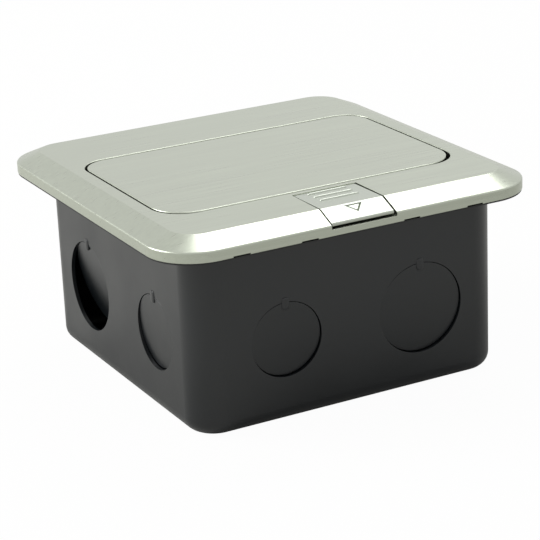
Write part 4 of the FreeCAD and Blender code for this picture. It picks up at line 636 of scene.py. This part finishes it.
class FLOORBOX_OT_back_box(bpy.types.Operator):
    """Back box: a rounded rectangle carried round the wall's and the foot's profile, with its discs"""

    bl_idname = "floor_box.back_box"
    bl_label = "Back Box"

    def execute(self, context):
        s = context.scene.floor_box.box
        width, depth = BOX_HIGH.x, (BOX_HIGH.y - BOX_LOW.y) / 2
        middle = (BOX_HIGH.y + BOX_LOW.y) / 2
        high = BOX_HIGH.z
        flat = mm(8)
        inset, z = filleted([(flat, 0, 0), (0, 0, s.foot), (0, high, mm(0.3)), (s.sheet, high, mm(0.3)),
                             (s.sheet, s.sheet, s.foot - s.sheet), (flat, s.sheet, 0)], steps=8).T
        rings = outline(width - inset, middle - depth + inset, middle + depth - inset, s.corner - inset,
                        s.corner - inset)
        box = new_object("box_shell", [shell(raised(rings, z))])
        walls = ((0, depth), (90, width), (180, depth), (270, width))
        front, right, rear, left = walls
        places = (
            (front, -mm(21.8), s.small, 3.0), (front, mm(22.5), s.large, 2.6),
            (rear, -mm(21.8), s.small, 2.0), (rear, mm(22.5), s.large, 2.0),
            (right, -mm(21.2), s.large, 2.4), (right, mm(24.6), s.small, 2.4),
            (left, -mm(21.2), s.large, 13.0), (left, mm(24.6), s.small, 3.6),
        )
        lie = turn_about("X", -90)
        holes, discs, ties = [], [], []
        for (turn, distance), along, radius, bend in places:
            facing = turn_about("Z", turn)
            centre = facing @ np.array([along, -distance, s.knockout_height]) + np.array([0, middle, 0])
            hole = disc(radius, s.sheet + mm(2), 0)
            hole = moved(hole, (0, -mm(1), 0), lie)
            holes.append(moved(hole, centre, facing))
            blank = moved(disc(radius - s.slit, s.sheet, mm(0.12)), (0, 0, -radius), lie)
            blank = moved(blank, (0, 0, radius), turn_about("X", bend))
            discs.append(moved(blank, centre, facing))
            ties.append(moved(self.tie(s, radius), centre, facing))
        for sx in (-1, 1):
            for sy in (-1, 1):
                hole = disc(s.screw_hole, s.sheet + mm(2), 0)
                holes.append(moved(hole, (sx * s.screw_pitch / 2, middle + sy * s.screw_pitch / 2, -mm(1))))
        combine(box, holes, "DIFFERENCE")
        ease_edges(box, mm(0.1))
        finish_piece(box, "base", "box_enamel", ("bottom_box",), 30.0)
        blanks = new_object("knockout_discs", discs)
        finish_piece(blanks, "base", "box_enamel")
        pressed = new_object("knockout_ties", ties)
        finish_piece(pressed, "base", "box_enamel", (), 60.0)
        return {"FINISHED"}

    @staticmethod
    def tie(s, radius):
        """Pressed rib over a disc's upper edge: rings whose width and height follow the fourth root of one
        minus the fourth power of the place along it."""
        along = np.linspace(-0.985, 0.985, 17)
        size = (1 - along ** 4) ** 0.25
        angle = np.linspace(0, 2 * np.pi, 24, endpoint=False)
        x = size[:, None] * s.tie_width / 2 * np.cos(angle)[None]
        height = np.where(np.sin(angle) > 0, mm(0.3), mm(1.0))
        y = -size[:, None] * height[None] * np.sin(angle)[None]
        z = np.broadcast_to((radius - mm(0.4) + along * s.tie_length / 2)[:, None], x.shape)
        return shell(np.stack([x, y, z], -1))


class FLOORBOX_OT_inner_works(bpy.types.Operator):
    """Inner works: every remaining node of the frame gets the material of its slot"""

    bl_idname = "floor_box.inner_works"
    bl_label = "Inner Works"

    def execute(self, context):
        for entry in frame["record"]["subparts"]:
            node = frame["nodes"][entry["node"]]
            node.data.materials.clear()
            node.data.materials.append(material_for(entry["material_slot"]))
        return {"FINISHED"}


class FLOORBOX_OT_stage(bpy.types.Operator):
    """Stage: pale floor, soft lamps, white surroundings and the camera"""

    bl_idname = "floor_box.stage"
    bl_label = "Stage"

    def execute(self, context):
        s = context.scene.floor_box.stage
        self.floor(s)
        self.surroundings(context.scene)
        self.softbox("overhead", (0.52, 0.50, 1.18), 0.58, s.overhead)
        self.softbox("side", (-1.0, 0.55, 0.75), 0.9, s.side)
        self.camera(context.scene, s)
        context.scene.view_settings.view_transform = "Standard"
        return {"FINISHED"}

    @staticmethod
    def floor(s):
        """Matt painted floor: white to the camera but for a share of its shading, which keeps the shadow."""
        half = 3.0
        mesh = bpy.data.meshes.new("floor")
        corners = [(-half, -half, 0), (half, -half, 0), (half, half, 0), (-half, half, 0)]
        mesh.from_pydata(corners, [], [(0, 1, 2, 3)])
        floor = bpy.data.objects.new("floor", mesh)
        floor.location.z = -mm(0.05)
        bpy.context.scene.collection.objects.link(floor)
        material = bpy.data.materials.new("matt_floor_paint")
        material.use_nodes = True
        tree = material.node_tree
        tree.nodes.clear()
        matt = add_node(tree, "ShaderNodeBsdfDiffuse", values={"Color": (*s.floor, 1.0)})
        white = add_node(tree, "ShaderNodeEmission", values={"Color": (1, 1, 1, 1), "Strength": 1.0})
        seen = add_node(tree, "ShaderNodeLightPath").outputs["Is Camera Ray"]
        share = add_node(tree, "ShaderNodeMath", values={1: 0.97}, links={0: seen}, operation="MULTIPLY")
        mix = add_node(tree, "ShaderNodeMixShader",
                       links={0: share.outputs[0], 1: matt.outputs[0], 2: white.outputs[0]})
        add_node(tree, "ShaderNodeOutputMaterial", links={"Surface": mix.outputs[0]})
        mesh.materials.append(material)

    @staticmethod
    def surroundings(scene):
        """White room: full strength where the camera, gloss and glass look, and softer as light."""
        world = bpy.data.worlds.new("white_room")
        world.use_nodes = True
        tree = world.node_tree
        tree.nodes.clear()
        path = add_node(tree, "ShaderNodeLightPath")
        seen = add_node(tree, "ShaderNodeMath", operation="MAXIMUM",
                        links={0: path.outputs["Is Camera Ray"], 1: path.outputs["Is Glossy Ray"]})
        seen = add_node(tree, "ShaderNodeMath", operation="MAXIMUM",
                        links={0: seen.outputs[0], 1: path.outputs["Is Transmission Ray"]})
        power = add_node(tree, "ShaderNodeMapRange", values={"To Min": 0.55, "To Max": 1.0},
                         links={"Value": seen.outputs[0]})
        back = add_node(tree, "ShaderNodeBackground", values={"Color": (1, 1, 1, 1)},
                        links={"Strength": power.outputs[0]})
        add_node(tree, "ShaderNodeOutputWorld", links={"Surface": back.outputs[0]})
        scene.world = world

    @staticmethod
    def softbox(name, place, size, power):
        """Square softbox that faces the object."""
        lamp = bpy.data.lights.new(name, "AREA")
        lamp.shape = "SQUARE"
        lamp.size = size
        lamp.energy = power
        holder = bpy.data.objects.new(name, lamp)
        holder.location = place
        aim = Vector((0, 0, mm(40))) - Vector(place)
        holder.rotation_euler = aim.to_track_quat("-Z", "Y").to_euler()
        bpy.context.scene.collection.objects.link(holder)

    @staticmethod
    def camera(scene, s):
        """Camera that looks down at the latch side from its left."""
        data = bpy.data.cameras.new("camera")
        data.lens = s.lens
        data.sensor_width = 36.0
        data.clip_start, data.clip_end = 0.05, 20.0
        camera = bpy.data.objects.new("camera", data)
        forward = Vector((0.43638, 0.83390, -0.33791)).normalized()
        right = forward.cross(Vector((0, 0, 1))).normalized()
        up = right.cross(forward)
        roll = math.radians(-2.49)
        across = right * math.cos(roll) + up * math.sin(roll)
        upward = up * math.cos(roll) - right * math.sin(roll)
        turn = Matrix((across, upward, -forward)).transposed().to_4x4()
        camera.matrix_world = Matrix.Translation((mm(-274.1), mm(-525.9), mm(238.6))) @ turn
        scene.collection.objects.link(camera)
        scene.camera = camera


class FLOORBOX_PT_panel(bpy.types.Panel):
    """Lists the floor box's pieces and settings"""

    bl_idname = "FLOORBOX_PT_panel"
    bl_label = "Floor Box"
    bl_space_type = "VIEW_3D"
    bl_region_type = "UI"
    bl_category = "Floor Box"

    def draw(self, context):
        layout = self.layout
        for operator in OPERATORS:
            layout.operator(operator.bl_idname)
        settings = context.scene.floor_box
        for group in (settings.plate, settings.latch, settings.box, settings.stage):
            box = layout.box()
            for name in group.__annotations__:
                box.prop(group, name)


OPERATORS = (FLOORBOX_OT_cover_plate, FLOORBOX_OT_lid, FLOORBOX_OT_latch, FLOORBOX_OT_back_box,
             FLOORBOX_OT_inner_works, FLOORBOX_OT_stage)
CLASSES = (PlateSettings, LatchSettings, BoxSettings, StageSettings, FloorBoxSettings, *OPERATORS,
           FLOORBOX_PT_panel)


def register():
    for item in CLASSES:
        bpy.utils.register_class(item)
    bpy.types.Scene.floor_box = PointerProperty(type=FloorBoxSettings, name="Floor box",
                                                description="Floor box settings")


def unregister():
    del bpy.types.Scene.floor_box
    for item in reversed(CLASSES):
        bpy.utils.unregister_class(item)


def main():
    register()
    bpy.ops.floor_box.cover_plate()
    bpy.ops.floor_box.lid()
    bpy.ops.floor_box.latch()
    bpy.ops.floor_box.back_box()
    bpy.ops.floor_box.inner_works()
    bpy.ops.floor_box.stage()


if __name__ == "__main__":
    main()
